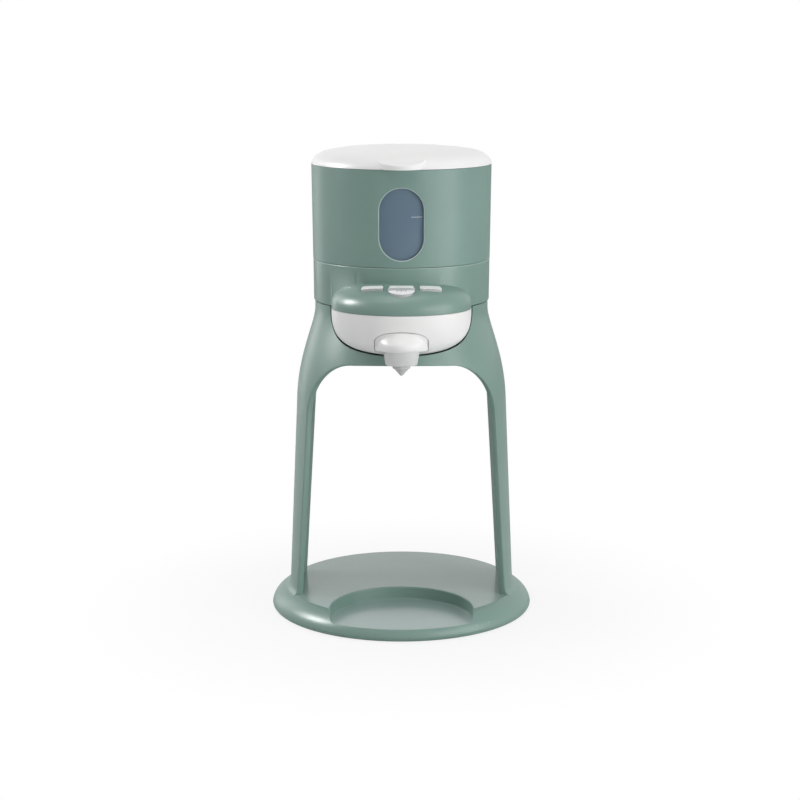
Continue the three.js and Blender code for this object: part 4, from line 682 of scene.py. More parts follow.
# %% [markdown]
# ## The head's form
#
# The head is a rounded box in plan, half an ellipse at the front and straight where it enters the body, and
# it swells like a cushion above and below its waist. A superellipse gives that swell: a power between two
# and three makes a curve that is fuller than a circle. Every level is the same D-shaped outline, scaled by
# how wide the superellipse is there.

# %% The D outline at every level
head_centre = 50.7
head_half = 52.8
head_reach = 44.7
head_back = 34.0
cover_rise = 20.3
cover_power = 2.8
bowl_depth = 34.0
bowl_power = 3.0
head_wall = 2.2
band_bottom = 248.15
opening_gap = 1.2

turn = np.linspace(0, np.pi, 121)
side_share = np.linspace(0, 1, 14)[1:]
back_share = np.linspace(-1, 1, 40)[1:-1]
d_outline = np.vstack([
    np.column_stack([np.cos(turn), np.sin(turn), np.zeros_like(turn)]),
    np.column_stack([-np.ones_like(side_share), np.zeros_like(side_share), side_share]),
    np.column_stack([back_share, np.zeros_like(back_share), np.ones_like(back_share)]),
    np.column_stack([np.ones_like(side_share), np.zeros_like(side_share), side_share[::-1]]),
])


def head_level(scale, height, inset, back):
    """One level of the head: across, the outline times the half width, and forwards, times the reach."""
    x = (head_half - inset) * scale * d_outline[:, 0]
    y = -head_centre - (head_reach - inset) * scale * d_outline[:, 1] + (head_centre - back) * d_outline[:, 2]
    return np.column_stack([x, y, np.full(len(x), height)])


def head_rows(inset, up, back, count=44):
    """All levels from the waist to the pole: the width is the cosine and the height the sine of an angle,
    each to the power two over the fullness."""
    power = cover_power if up else bowl_power
    angle = np.linspace(0, np.pi / 2, count)
    scale = np.maximum(np.cos(angle), 0) ** (2 / power)
    scale[-1] = 0
    height = np.sin(angle) ** (2 / power)
    waist = band_bottom if up else stand_top
    rise = cover_rise - inset if up else inset - bowl_depth
    return np.stack([head_level(s, waist + rise * h, inset, back) for s, h in zip(scale, height)])


def head_solid(name, inset, up, back):
    """The head's form as one closed solid, to cut with: its levels, and a flat lid at the waist."""
    rows = head_rows(inset, up, back)
    middle = rows[0] * [0, 1, 1]
    lid_rows = np.stack([rows[0] + (middle - rows[0]) * part for part in np.linspace(1, 0, 8)])
    return shell(name, (np.concatenate([lid_rows[:-1], rows]), False, True))


def head_shell(name, up, back, inner_back):
    """The head's form as a moulded wall: the outer levels, and the inner ones back to the pole."""
    outer = head_rows(0, up, back)
    inner = head_rows(head_wall, up, inner_back)
    return shell(name, (np.concatenate([outer[::-1], inner]), False, True))


combine(stand_shell, head_solid("opening", -opening_gap, False, head_back - opening_gap))
place(stand_shell, sage_gloss, "housing", "sage_plastic", "stand")

# %% [markdown]
# ## Body band and head cover
#
# The band round the body and the cover of the head are one green moulding. The band is a turned ring with a
# deck inside it, on which the water tank stands. A small chamfer at its top is painted a paler green as a
# painted highlight, a thin bright line. The cover is the upper half of the head's form. Four holes in it let
# the buttons through, and a strip with a hollow section fills the corner where the cover meets the band.

# %% The band
band_top = 279.85
band_radius = 68.0
band_top_radius = 68.3
band_wall = 2.4
band_chamfer = 0.7
deck_top = 274.45
deck_thickness = 2.4
socket_hole = 12.3
band_profile = [
    [socket_hole, deck_top - deck_thickness],
    [band_radius - band_wall, deck_top - deck_thickness],
    [band_radius - band_wall, band_bottom],
    [band_radius, band_bottom],
    [band_top_radius, band_top],
    [band_top_radius - band_wall, band_top],
    [band_top_radius - band_wall, deck_top],
    [socket_hole, deck_top],
]
band_round = [0.2, 0.4, 0.3, seam_round, band_chamfer, 0.4, 0.8, 0.5]
upper_shell = shell("upper_shell", turned(softened(band_profile, band_round)))

# %% The buttons' outlines
button_back = 73.0
button_front = 80.8
side_front = 82.6
button_inner = 13.4
button_outer = 30.2
button_slant = 1.2
centre_half = 9.0
crescent_half = 10.0
crescent_reach = 8.8
button_split = 0.6
button_corner = 2.2
button_gap = 0.3
button_proud = 0.4
button_lift = 1.7


def evenly(outline, count=120):
    """The same closed outline with evenly spaced points, read off along its own length."""
    closed = np.vstack([outline, outline[:1]])
    length = np.concatenate([[0], np.cumsum(np.linalg.norm(np.diff(closed, axis=0), axis=1))])
    way = np.linspace(0, length[-1], count, endpoint=False)
    return np.column_stack([np.interp(way, length, column) for column in closed.T])


def side_button(side, grow):
    """A piece of a ring about the body's axis. Its corners are given as a length along the ring and a
    radius, softened there, and then bent round the axis."""
    inner, outer, middle = button_inner - grow, button_outer + grow, (button_back + side_front) / 2
    ends = [
        (inner, side_front + grow), (outer, side_front + grow),
        (outer - button_slant, button_back - grow), (inner, button_back - grow),
    ]
    flat = [[math.asin(x / radius) * middle, radius] for x, radius in ends]
    along, radius = evenly(softened(flat, button_corner, 12)).T
    return np.column_stack([side * radius * np.sin(along / middle), -radius * np.cos(along / middle)])


def centre_button(grow):
    """A rectangle with small soft corners."""
    half = centre_half + grow
    corners = [
        [-half, -button_front - grow], [half, -button_front - grow],
        [half, -button_back + grow], [-half, -button_back + grow],
    ]
    return softened(corners, button_corner / 2, 12)


def crescent_button(grow):
    """Half an ellipse hung from a straight chord, with its two horns softened."""
    chord = -button_front - button_split + grow
    angle = np.linspace(np.pi, 2 * np.pi, 49)
    half = crescent_half + grow
    bow = np.column_stack([half * np.cos(angle), chord + (crescent_reach + 2 * grow) * np.sin(angle)])
    radius = np.full(len(bow), 0.05)
    radius[[0, -1]] = 0.8
    return softened(bow, radius, 4)


button_outlines = {
    "button_left": lambda grow: side_button(-1, grow),
    "button_right": lambda grow: side_button(1, grow),
    "button_centre_back": centre_button,
    "button_centre_front": crescent_button,
}


def cover_height(points, inset):
    """The cover's height over a point of the plan: the superellipse solved for height."""
    x = points[..., 0] / (head_half - inset)
    y = np.minimum(points[..., 1] + head_centre, 0) / (head_reach - inset)
    reach = np.clip(np.hypot(x, y), 0, 1)
    return band_bottom + (cover_rise - inset) * (1 - reach**cover_power) ** (1 / cover_power)


# %% Cover with its button holes, joined to the band
hole_low = band_bottom + 6
hole_high = band_bottom + cover_rise + 4
inside_radius = 67
inside_low = 240
inside_high = 285
cover_overlap = 2
cover_shell = head_shell("cover", True, head_back, head_back + cover_overlap)
for name, outline in button_outlines.items():
    combine(cover_shell, prism("hole", outline(button_gap), 2, (hole_low, hole_high)))
inside_profile = [
    [0, inside_low], [inside_radius, inside_low], [inside_radius, inside_high], [0, inside_high],
]
combine(cover_shell, shell("inside_band", turned(inside_profile, ring=False)))
combine(upper_shell, cover_shell, "UNION")

# %% The fillet between cover and band
fillet_reach = 0.9
fillet_bury = 0.6
fillet_sink = 1.5
fillet_half = math.radians(49)
edge_depth = 0.8
edge_width = 0.75
fillet_bend = np.linspace(0, np.pi / 2, 6)
fillet_out = band_radius + np.array([
    -fillet_bury, -fillet_bury, *(fillet_reach * (1 - np.cos(fillet_bend))), fillet_reach,
])
fillet_up = np.array([-fillet_sink, fillet_reach, *(fillet_reach * (1 - np.sin(fillet_bend))), -fillet_sink])
fillet_angle = np.linspace(-fillet_half, fillet_half, 80)[:, None]
fillet_xy = np.stack([fillet_out * np.sin(fillet_angle), -fillet_out * np.cos(fillet_angle)], -1)
fillet_grid = np.dstack([fillet_xy, cover_height(fillet_xy, 0) + fillet_up])
fillet = shell("fillet", (fillet_grid, False, True), caps=[fillet_grid[0], fillet_grid[-1]])
combine(upper_shell, fillet, "UNION")
# The faces of the band's top chamfer take a paler green, which is a painted highlight.
x, y, height = faces_of(upper_shell, "center").T
on_edge = (height > band_top - edge_depth) & (np.hypot(x, y) > band_top_radius - edge_width)
place(upper_shell, sage_gloss, "housing", "sage_plastic", "upper_housing", patches=[(sage_painted_edge_highlight, on_edge)])

# %% [markdown]
# ## Buttons
#
# Each button is a soft slab that stands a little proud of the cover at the back and more at the front,
# because a cap is flatter than the cover. Its top is drawn in rings from the middle to the outline, and the
# last rings roll over the edge and go down into the hole. The steep sides are painted grey, as painted shade.
# Three small lenses sit in the crescent one, with two tiny marks between them.

# %% Button caps
button_round = 0.45
button_depth = 3.0
row_slack = 0.4
steep = 0.45


def cap_height(points):
    """A cap's top: the cover's height, plus a lift that grows with the square of the way from the back of
    its row to the front, because a cap is flatter than the cover."""
    radius = np.hypot(points[..., 0], points[..., 1])
    in_back_row = radius < side_front + row_slack
    back = np.where(in_back_row, button_back, button_front + button_split)
    reach = np.where(in_back_row, side_front - button_back, crescent_reach)
    return cover_height(points, -button_proud) + button_lift * np.clip((radius - back) / reach, 0, 1) ** 2


def button_cap(name, outline):
    """Rings from the outline's middle, each at the cap's height, then a quarter round over the edge."""
    rim = outline(-button_round)
    middle = rim.mean(0)
    rings = [middle + (rim - middle) * part for part in np.linspace(0, 1, 12)]
    rows = [np.column_stack([ring, cap_height(ring)]) for ring in rings]
    for angle in np.linspace(0, np.pi / 2, 6)[1:]:
        ring = outline(-button_round * (1 - math.sin(angle)))
        rows.append(np.column_stack([ring, cap_height(ring) - button_round * (1 - math.cos(angle))]))
    low = outline(0)
    base = cover_height(low, -button_proud) - button_depth
    rows.append(np.column_stack([low, base]))
    rows.append(np.column_stack([np.tile(low.mean(0), (len(low), 1)), np.full(len(low), base.mean())]))
    return shell(name, (np.stack(rows), False, True))


for name, outline in button_outlines.items():
    cap = button_cap(name.replace("button", "cap"), outline)
    # The steep sides take a grey, which is painted shade.
    on_side = np.abs(faces_of(cap, "normal")[:, 2]) < steep
    place(cap, button_white, f"{name}_cap", "white_plastic", name, patches=[(button_painted_side_shade, on_side)])

# %% Indicator lenses and the marks beside them
lens_pitch = 3.2
lens_radius = 0.6
lens_proud = 0.14
lens_inset = 2.6
lens_y = -button_front - button_split - lens_inset
mark_radius = lens_radius * 0.6
mark_proud = 0.12
dot_root = 0.6


def dot(name, x, y, radius, proud):
    """A tiny dome on a button: a turned quarter round whose foot follows the button's height."""
    foot = float(cap_height(np.array([x, y])))
    low, high = foot - dot_root, foot + proud
    profile = softened([[0, low], [radius, low], [radius, high], [0, high]], [0, 0.1, 0.12, 0])
    steps = np.linspace(0, 2 * np.pi, 24, endpoint=False)
    return shell(name, turned(profile, steps, (x, y), ring=False))


for step in (-1, 0, 1):
    lens = dot(f"lens_{step + 2}", step * lens_pitch, lens_y, lens_radius, lens_proud)
    material = indicator_glow if step > -1 else button_mark
    place(lens, material, "button_centre_front_cap", "lens", f"indicator_lens_{step + 2}")
for step in (-0.5, 0.5):
    mark = dot(f"mark_{int(step + 1.5)}", step * lens_pitch, lens_y, mark_radius, mark_proud)
    place(mark, indicator_glow, "button_centre_front_cap", "lens")

# %% [markdown]
# ## The bowl and the drawer
#
# The white bowl is the lower half of the head's form, as a thin wall. The drawer's tab fills a notch in its
# front: above, the tab simply carries on the bowl's surface, and below it swells into a thumb lip. The lip
# is a profile whose reach fades towards the tab's two sides, and the two surfaces are blended with a soft
# maximum, so the finger hollow runs out smoothly.

# %% The bowl with the drawer's notch
tab_half = 19.5
tab_shoulder = 228.0
tab_top = 235.4
tab_back = 78.0
tab_gap = 0.5
tab_pull = 5
tab_flat = 12
notch_low = 200
beyond_head = -110
hose_notch = [[-7, 239.8], [7, 239.8], [7, 252], [-7, 252]]
hose_notch_ends = (-40, -30)


def tab_outline(grow, count=28):
    """The tab's upper edge from the front: two Bezier quarters that meet at the middle."""
    half = tab_half + grow
    top = tab_top + grow
    left = bezier([[half, tab_shoulder], [half, tab_shoulder + tab_pull], [tab_flat, top], [0, top]], count)
    right = left[::-1][1:] * [-1, 1]
    return np.vstack([left, right])


bowl_shell = head_shell("bowl_shell", False, head_back, head_back + head_wall)
notch_half = tab_half + tab_gap
notch = np.vstack([[[-notch_half, notch_low], [notch_half, notch_low]], tab_outline(tab_gap)])
combine(bowl_shell, prism("notch", notch, 1, (beyond_head, -tab_back)))
combine(bowl_shell, prism("hose_notch", hose_notch, 1, hose_notch_ends))
place(bowl_shell, white_satin, "housing", "white_plastic", "head_bowl")

# %% The tab's surface
lip_centre = 77.2
lip_root = 84.0
lip_under = 221.0
lip_side_gap = 0.2
lip_fullness = 0.75
lip_fillet = 0.6
lip_steps = 9
lip_profile = softened([
    [10.0, tab_top], [17.0, tab_top], [20.4, 230.2], [23.6, 226.8], [23.6, 223.2], [20.6, lip_under],
    [10.0, lip_under],
], [0, 1.6, 3, 2, 1.9, 1.6, 0], lip_steps)
lip_profile = lip_profile[lip_steps:-lip_steps]


def bowl_front(x, z, inset=0.0):
    """How far forward the bowl's surface lies at a place seen from the front."""
    drop = np.clip((stand_top - z) / (bowl_depth - inset), 0, 1)
    scale = (1 - drop**bowl_power) ** (1 / bowl_power)
    across = np.clip(scale**2 - (x / (head_half - inset)) ** 2, 0, None)
    return head_centre + (head_reach - inset) * np.sqrt(across)


def soft_max(a, b, width):
    """The larger of two fields, with a fillet of about the given width where they cross."""
    blend = np.clip(0.5 + (a - b) / (2 * width), 0, 1)
    return b + (a - b) * blend + width * blend * (1 - blend)


tab_edge = tab_outline(0, 40)
x = tab_edge[:, 0][None, :]
ceiling = tab_edge[:, 1][None, :]
profile_radius, profile_height = lip_profile[:, 0][:, None], lip_profile[:, 1][:, None]
height = np.minimum(profile_height, ceiling)
upper = lip_profile[: int(np.argmax(lip_profile[:, 0]))]
lip_radius = np.where(
    profile_height > ceiling, np.interp(ceiling, upper[::-1, 1], upper[::-1, 0]), profile_radius,
)
lip_bow = np.clip(1 - (x / (tab_half + lip_side_gap)) ** 2, 0, None) ** lip_fullness
lip_front = lip_root + np.maximum(lip_centre + lip_radius - lip_root, 0) * lip_bow
face = soft_max(lip_front, bowl_front(x, height), lip_fillet)
meeting = np.sqrt(((tab_back - head_centre) / head_reach) ** 2 + (x / head_half) ** 2)
lowest = stand_top - bowl_depth * (1 - meeting**bowl_power) ** (1 / bowl_power)
lower_height = lip_under + (lowest - lip_under) * np.linspace(0, 1, 16)[1:, None]
lower_face = bowl_front(x, lower_height)
face_rows = np.concatenate([
    np.stack([np.broadcast_to(x, height.shape), -face, height], -1),
    np.stack([np.broadcast_to(x, lower_height.shape), -lower_face, lower_height], -1),
])
back_top = np.stack([x, np.full_like(x, -tab_back), ceiling], -1)
back_low = np.stack([x, np.full_like(x, -tab_back), lower_height[-1:]], -1)
tab_rows = np.concatenate([back_top, face_rows, back_low])
tab_piece = shell("drawer_shell", (tab_rows, True, False), caps=[tab_rows[:, 0], tab_rows[:, -1]])

# %% [markdown]
# Under the lip hangs the spout's shroud, an oval cup that narrows downwards, and behind the tab runs the
# open channel in which the powder basket sits. Both are joined to the tab as one moulding.

# %% The shroud and the channel
shroud_y = -87.0
shroud_top_half = 13.8
shroud_low_half = 11.8
shroud_depth = 0.62
shroud_bottom = 210.2
shroud_top = 222.4
nozzle_hole = 5.2
basket_floor = 223.1


def oval_rows(profile, y):
    """Rings that are ovals, each with its own half width, half depth and height."""
    across, deep, height = np.asarray(profile, float).T
    angle = np.linspace(0, 2 * np.pi, 128, endpoint=False)[:, None]
    return np.stack([across * np.cos(angle), y + deep * np.sin(angle), height + 0 * angle], -1), True, True


def shroud_half(height):
    """The shroud's half width, which shrinks evenly from its top to its bottom."""
    return np.interp(height, [shroud_bottom, basket_floor], [shroud_low_half, shroud_top_half])


shroud_corners = [
    [shroud_half(shroud_top), shroud_half(shroud_top) * shroud_depth, shroud_top],
    [shroud_low_half, shroud_low_half * shroud_depth, shroud_bottom],
    [nozzle_hole, nozzle_hole, shroud_bottom],
    [nozzle_hole, nozzle_hole, shroud_top],
]
shroud = shell("shroud", oval_rows(softened(shroud_corners, [0, 1.6, 0.3, 0], 8), shroud_y))

# %% The channel behind the tab
channel_half = 17.3
channel_inner = 15.7
channel_bottom = 221.5
channel_top = 231.2
channel_start = -tab_back - 4
channel_end = -38
end_wall = 1.6
channel_round = 0.4
well_top = 240
well_ends = (-90.5, -70)
channel_outer = [
    [-channel_half, channel_top], [-channel_half, channel_bottom], [channel_half, channel_bottom],
    [channel_half, channel_top], [channel_inner, channel_top], [channel_inner, basket_floor],
    [-channel_inner, basket_floor], [-channel_inner, channel_top],
]
back_outer = [
    [-channel_half, channel_bottom], [channel_half, channel_bottom],
    [channel_half, channel_top], [-channel_half, channel_top],
]
well = [
    [-channel_inner, basket_floor], [channel_inner, basket_floor],
    [channel_inner, well_top], [-channel_inner, well_top],
]
funnel_profile = [[0, 205], [4.6, 205], [4.6, 219.5], [8, 223.2], [8, 230], [0, 230]]
channel = prism("channel", softened(channel_outer, channel_round), 1, (channel_start, channel_end))
back_ends = (channel_end - end_wall, channel_end)
combine(channel, prism("back_wall", softened(back_outer, channel_round), 1, back_ends), "UNION")
combine(tab_piece, prism("well", well, 1, well_ends))
combine(tab_piece, channel, "UNION")
combine(tab_piece, shroud, "UNION")
combine(tab_piece, shell("funnel", turned(funnel_profile, centre=(0, shroud_y), ring=False)))
# The faces below the lip, the shroud's among them, take a greyer white, which is painted shade.
under_lip = faces_of(tab_piece, "center")[:, 2] < lip_under
place(tab_piece, white_satin, "drawer", "white_plastic", "drawer_front", patches=[(spout_painted_shade, under_lip)])

# %% [markdown]
# The soft grey nozzle is a turned skirt that tapers to a tip. It is made of silicone, so its edges are
# rounder than those of the hard plastic round it.

# %% The nozzle
nozzle_profile = [
    [3.2, 213.6], [3.2, 207.9], [0.5, 203.8], [0.5, 202.5], [0.9, 202.5], [5.4, 207.6], [6.6, 208.2],
    [6.6, 209.9], [4.9, 209.9], [4.9, 212.1], [5.6, 212.1], [5.6, 213.3],
]
nozzle = shell("nozzle", turned(softened(nozzle_profile, 0.25), centre=(0, shroud_y)))
place(nozzle, grey_silicone, "drawer", "silicone", "spout_nozzle")

# %% [markdown]
# ## The tank and its sleeve
#
# The water tank is a smoky cup. It stands in a green sleeve, which has a window shaped like a capsule. The
# sleeve's front is drawn along rays from the window's middle to the edges of a rectangle that is bent round
# the body, and the rest is turned in the usual way, from the same heights, so that the two close up.

# %% Sleeve sizes and the window's rays
tank_bottom = 280.15
tank_top = 352.35
sleeve_low = 68.4
sleeve_high = 69.3
sleeve_wall = 2.2
window_half = 16.5
window_low = tank_bottom + 5.2
window_high = tank_bottom + 58.8
window_edge = 0.6
patch_half = 58.0
window_middle = np.array([0, (window_low + window_high) / 2])


def sleeve_radius(height):
    """The sleeve widens evenly towards the lid."""
    return np.interp(height, [tank_bottom, tank_top], [sleeve_low, sleeve_high])


patch_corners = np.array([
    [patch_half, tank_top], [-patch_half, tank_top], [-patch_half, tank_bottom], [patch_half, tank_bottom],
])
corner_angles = np.arctan2(*(patch_corners - window_middle).T[::-1])
even_angles = np.linspace(-np.pi, np.pi, 240, endpoint=False)
ray_angle = np.unique(np.concatenate([even_angles, corner_angles]).round(12))
ray_way = np.column_stack([np.cos(ray_angle), np.sin(ray_angle)])


def window_ring(grow):
    """Where every ray leaves the window's capsule: at the half width over the cosine beside the straight
    sides, and past them at the far root of the end circle's quadratic."""
    radius = window_half + grow
    straight = (window_high - window_low) / 2 - window_half
    across, up = np.abs(ray_way).T
    side = radius / np.maximum(across, 1e-9)
    end = straight * up + np.sqrt(np.clip(radius**2 - (straight * across) ** 2, 0, None))
    return window_middle + ray_way * np.where(side * up <= straight, side, end)[:, None]


with np.errstate(divide="ignore"):
    to_side = patch_half / np.abs(ray_way[:, 0])
    gap_up = np.where(ray_way[:, 1] > 0, tank_top - window_middle[1], window_middle[1] - tank_bottom)
    to_end = gap_up / np.abs(ray_way[:, 1])
patch_ring = window_middle + ray_way * np.minimum(to_side, to_end)[:, None]
hits_end = to_end <= to_side * (1 + 1e-9)
hits_side = to_side <= to_end * (1 + 1e-9)
print(f"{len(ray_angle)} rays, {int(hits_end.sum())} of them reach the top or bottom edge")


# %% The sleeve's shell
def bent(flat, depth):
    """A flat front point bent round the body: its y is the root of the radius squared less x squared."""
    x, z = flat[..., 0], flat[..., 1]
    radius = sleeve_radius(z) - depth
    return np.stack([x, -np.sqrt(radius**2 - x**2), z], -1)


patch_share = np.linspace(0, 1, 22)[:, None, None]
outer_rows = bent(patch_ring + (window_ring(window_edge) - patch_ring) * patch_share, 0)
round_rows = np.stack([
    bent(window_ring(window_edge * (1 - math.sin(turn))), window_edge * (1 - math.cos(turn)))
    for turn in np.linspace(0, np.pi / 2, 6)[1:]
])
inner_rows = bent(window_ring(0) + (patch_ring - window_ring(0)) * patch_share, sleeve_wall)
front_grid = np.concatenate([outer_rows, round_rows, inner_rows])

side_heights = np.sort(patch_ring[hits_side & (ray_way[:, 0] > 0), 1])
section_height = np.concatenate([side_heights, side_heights[::-1]])
section_radius = sleeve_radius(section_height) - np.repeat([0, sleeve_wall], len(side_heights))
start_angle = np.arcsin(patch_half / section_radius)
turn_share = np.linspace(0, 1, 140)[:, None]
section_angle = start_angle + (2 * np.pi - 2 * start_angle) * turn_share
rear_grid = np.stack([
    section_radius * np.sin(section_angle),
    -section_radius * np.cos(section_angle),
    section_height + 0 * section_angle,
], -1)
end_strips = []
for way in (1, -1):
    chosen = hits_end & (np.sign(ray_way[:, 1]) == way)
    order = np.argsort(patch_ring[chosen, 0])
    edge = patch_ring[chosen][order]
    end_strips.append((np.stack([bent(edge, 0), bent(edge, sleeve_wall)]), False, False))

hinge_y = 73.2
hinge_z = 353.55
hinge_radius = 3.2
hinge_half = 8.0


def knuckle(ends):
    """A short rod along x at the hinge."""
    steps = 48
    circle = arc(hinge_y, hinge_z, hinge_radius, 0, 2 * np.pi * (steps - 1) / steps, steps)
    return prism("barrel", circle, 0, ends)


sleeve_shell = shell("sleeve_shell", (front_grid, False, True), (rear_grid, False, True), *end_strips)
ledge = [[62.3, tank_bottom], [66.6, tank_bottom], [66.6, 282.85], [62.3, 282.85]]
combine(sleeve_shell, shell("ledge", turned(softened(ledge, 0.3))), "UNION")
bracket_outline = [[68.2, hinge_z - 9], [76.4, hinge_z - 1.8], [hinge_y, hinge_z], [68.2, tank_top]]
bracket_ends = (-hinge_half, hinge_half)
combine(sleeve_shell, prism("bracket", softened(bracket_outline, [0, 1, 0, 0]), 0, bracket_ends), "UNION")
combine(sleeve_shell, knuckle(bracket_ends), "UNION")
# The faces round the window's edge take a pale green, which is a painted highlight.
centres = faces_of(sleeve_shell, "center")
off_middle = np.abs(centres[:, [0, 2]] - window_middle)
off_middle[:, 1] = np.maximum(off_middle[:, 1] - (window_high - window_low) / 2 + window_half, 0)
at_window = (centres[:, 1] < 0) & (np.hypot(*off_middle.T) < window_half + window_edge)
place(sleeve_shell, sage_satin, "tank", "sage_plastic", "tank_sleeve", patches=[(sage_painted_rim_highlight, at_window)])

# %% The tank and its level line
tank_profile = [
    [3.0, 269.75], [5.6, 269.75], [5.6, 264.75], [8.0, 264.75], [8.0, 274.75], [60.0, 274.75], [62.0, 276.75],
    [62.0, 283.15], [65.9, 283.15], [66.8, 352.35], [65.0, 352.35], [64.1, 284.95], [60.2, 284.95],
    [60.2, 276.55], [7.1, 276.55], [7.1, 275.35], [5.6, 275.35], [5.6, 271.55], [3.0, 271.55],
]
tank_round = [0, 0, 0.4, 0.5, 0.5, 1, 1, 0.8, 0.4, 0.5, 0.5, 2, 1, 1.5, 0.3, 0.3, 0, 0, 0]
tank_shell = shell("tank_shell", turned(softened(tank_profile, tank_round)))
place(tank_shell, smoked_tank, "tank", "smoke_clear", "water_tank")

level_height = 317.6
level_left, level_right = 7.3, 15.4
line_x = np.linspace(level_left, level_right, 18)
line_section = np.array([
    [0.0, -0.28], [0.12, -0.22], [0.12, 0.22], [0.0, 0.28], [-0.2, 0.28], [-0.2, -0.28],
])
wall_low, wall_high = tank_profile[8], tank_profile[9]
tank_wall_radius = np.interp(level_height, [wall_low[1], wall_high[1]], [wall_low[0], wall_high[0]])
line_radius = tank_wall_radius + line_section[:, 0][None, :]
line_grid = np.stack([
    line_x[:, None] + 0 * line_radius,
    -np.sqrt(line_radius**2 - line_x[:, None] ** 2),
    level_height + line_section[:, 1][None, :] + 0 * line_x[:, None],
], -1)
level_line = shell("level_line", (line_grid, False, True), caps=[line_grid[0], line_grid[-1]])
place(level_line, level_ink, "tank", "white_plastic")

# %% [markdown]
# ## The lid
#
# The lid is a shallow dome with a soft edge and a skirt that plugs the tank. At its front a thumb lip
# stands out: a disc whose top slopes down towards the user and meets the dome higher up. Two short arms
# reach back to the hinge pin.

# %% The dome and its skirt
lid_bottom = 352.65
lid_edge = bezier([[69.4, lid_bottom], [68.5, lid_bottom + 6], [60, lid_bottom + 9.2]], 26)
lid_crown = bezier([[60, lid_bottom + 9.2], [44, lid_bottom + 13.2], [0, lid_bottom + 13.2]], 40)
dome = np.vstack([
    lid_crown[::-1],
    lid_edge[::-1][1:],
    [[69.1, lid_bottom], [67.2, lid_bottom], [66.4, lid_bottom + 3.4], [63.2, lid_bottom + 5.2]],
    [[63.2, lid_bottom - 3.3], [62.4, lid_bottom - 3.3], [62.4, lid_bottom - 6.2], [62.1, lid_bottom - 6.5]],
    [[61.0, lid_bottom - 6.5], [60.8, lid_bottom - 6.2], [60.8, lid_bottom + 6.4]],
    bezier([[57.8, lid_bottom + 7], [44, lid_bottom + 11], [0, lid_bottom + 11]], 24),
])
lid_shell = shell("lid_shell", turned(dome, ring=False))

# %% The thumb lip and the hinge arms
lip_radius_plan = 18.75
lip_y = -56.75
lip_round = 0.7
lip_rise = 8.6
lip_fall = 5.2
lip_foot = 0.4
arm_inner = 8.5
arm_outer = 16.0
arm_root = 61.5
arm_thickness = 3.4
lip_angle = np.linspace(0, 2 * np.pi, 160, endpoint=False)


def lip_top(y):
    """The lip's top: level at the back, and a smooth slope down to its front edge."""
    way = np.clip((-y + lip_y) / lip_radius_plan, 0, 1)
    return lid_bottom + lip_rise - lip_fall * way


def lip_ring(radius, drop):
    """A ring of the lip at a radius, a little below its sloping top."""
    x, y = radius * np.cos(lip_angle), lip_y + radius * np.sin(lip_angle)
    return np.column_stack([x, y, lip_top(y) - drop])


lip_rows = [lip_ring((lip_radius_plan - lip_round) * part, 0) for part in np.linspace(0, 1, 18)]
lip_rows += [
    lip_ring(lip_radius_plan - lip_round * (1 - math.sin(turn)), lip_round * (1 - math.cos(turn)))
    for turn in np.linspace(0, np.pi / 2, 6)[1:]
]
for radius, height in ((lip_radius_plan, lip_foot), (lip_radius_plan - lip_foot, 0), (0, 0)):
    low = lip_ring(radius, 0)
    low[:, 2] = lid_bottom + height
    lip_rows.append(low)
thumb_lip = shell("thumb_lip", (np.stack(lip_rows), False, True))
hollow_profile = [
    [0, lid_bottom - 2], [66, lid_bottom - 2], [66, lid_bottom + 3.6], [60, lid_bottom + 6.5],
    [0, lid_bottom + 8],
]
combine(thumb_lip, shell("hollow", turned(hollow_profile, ring=False)))
combine(lid_shell, thumb_lip, "UNION")
arm_top = lid_bottom + arm_thickness
arm_outline = [[arm_root, lid_bottom], [hinge_y, lid_bottom], [hinge_y, arm_top], [arm_root, arm_top]]
for ends in ((-arm_outer, -arm_inner), (arm_inner, arm_outer)):
    combine(lid_shell, prism("arm", softened(arm_outline, 0.4), 0, ends), "UNION")
    combine(lid_shell, knuckle(ends), "UNION")
place(lid_shell, white_satin, "lid_assembly", "white_plastic", "lid")

# %% [markdown]
# ## The gland at the back
#
# The power lead enters through a gland low at the back. It is a small turned collar whose axis points
# backwards, so its profile is turned upright first, and then the axes are exchanged.

# %% The gland
gland_profile = [
    [3.4, 61.0], [7.4, 61.0], [7.4, 62.1], [5.2, 62.1], [5.2, 67.4], [7.4, 67.4], [6.8, 68.9], [3.4, 68.9],
]
gland_height = 238.0
gland_angles = np.linspace(0, 2 * np.pi, 64, endpoint=False)
gland_grid, *wraps = turned(softened(gland_profile, 0.3), gland_angles)
gland = shell("gland", (gland_grid[..., [0, 2, 1]] + [0, 0, gland_height], *wraps))
place(gland, dark_moulding, "housing", "dark_plastic", "cord_gland")

# %% [markdown]
# ## The CAD pieces that stay
#
# Everything inside the machine keeps its CAD shape: it is plain there, and only shows when the tank is
# lifted, the lid is open or the drawer is out. These pieces only need their finishes.

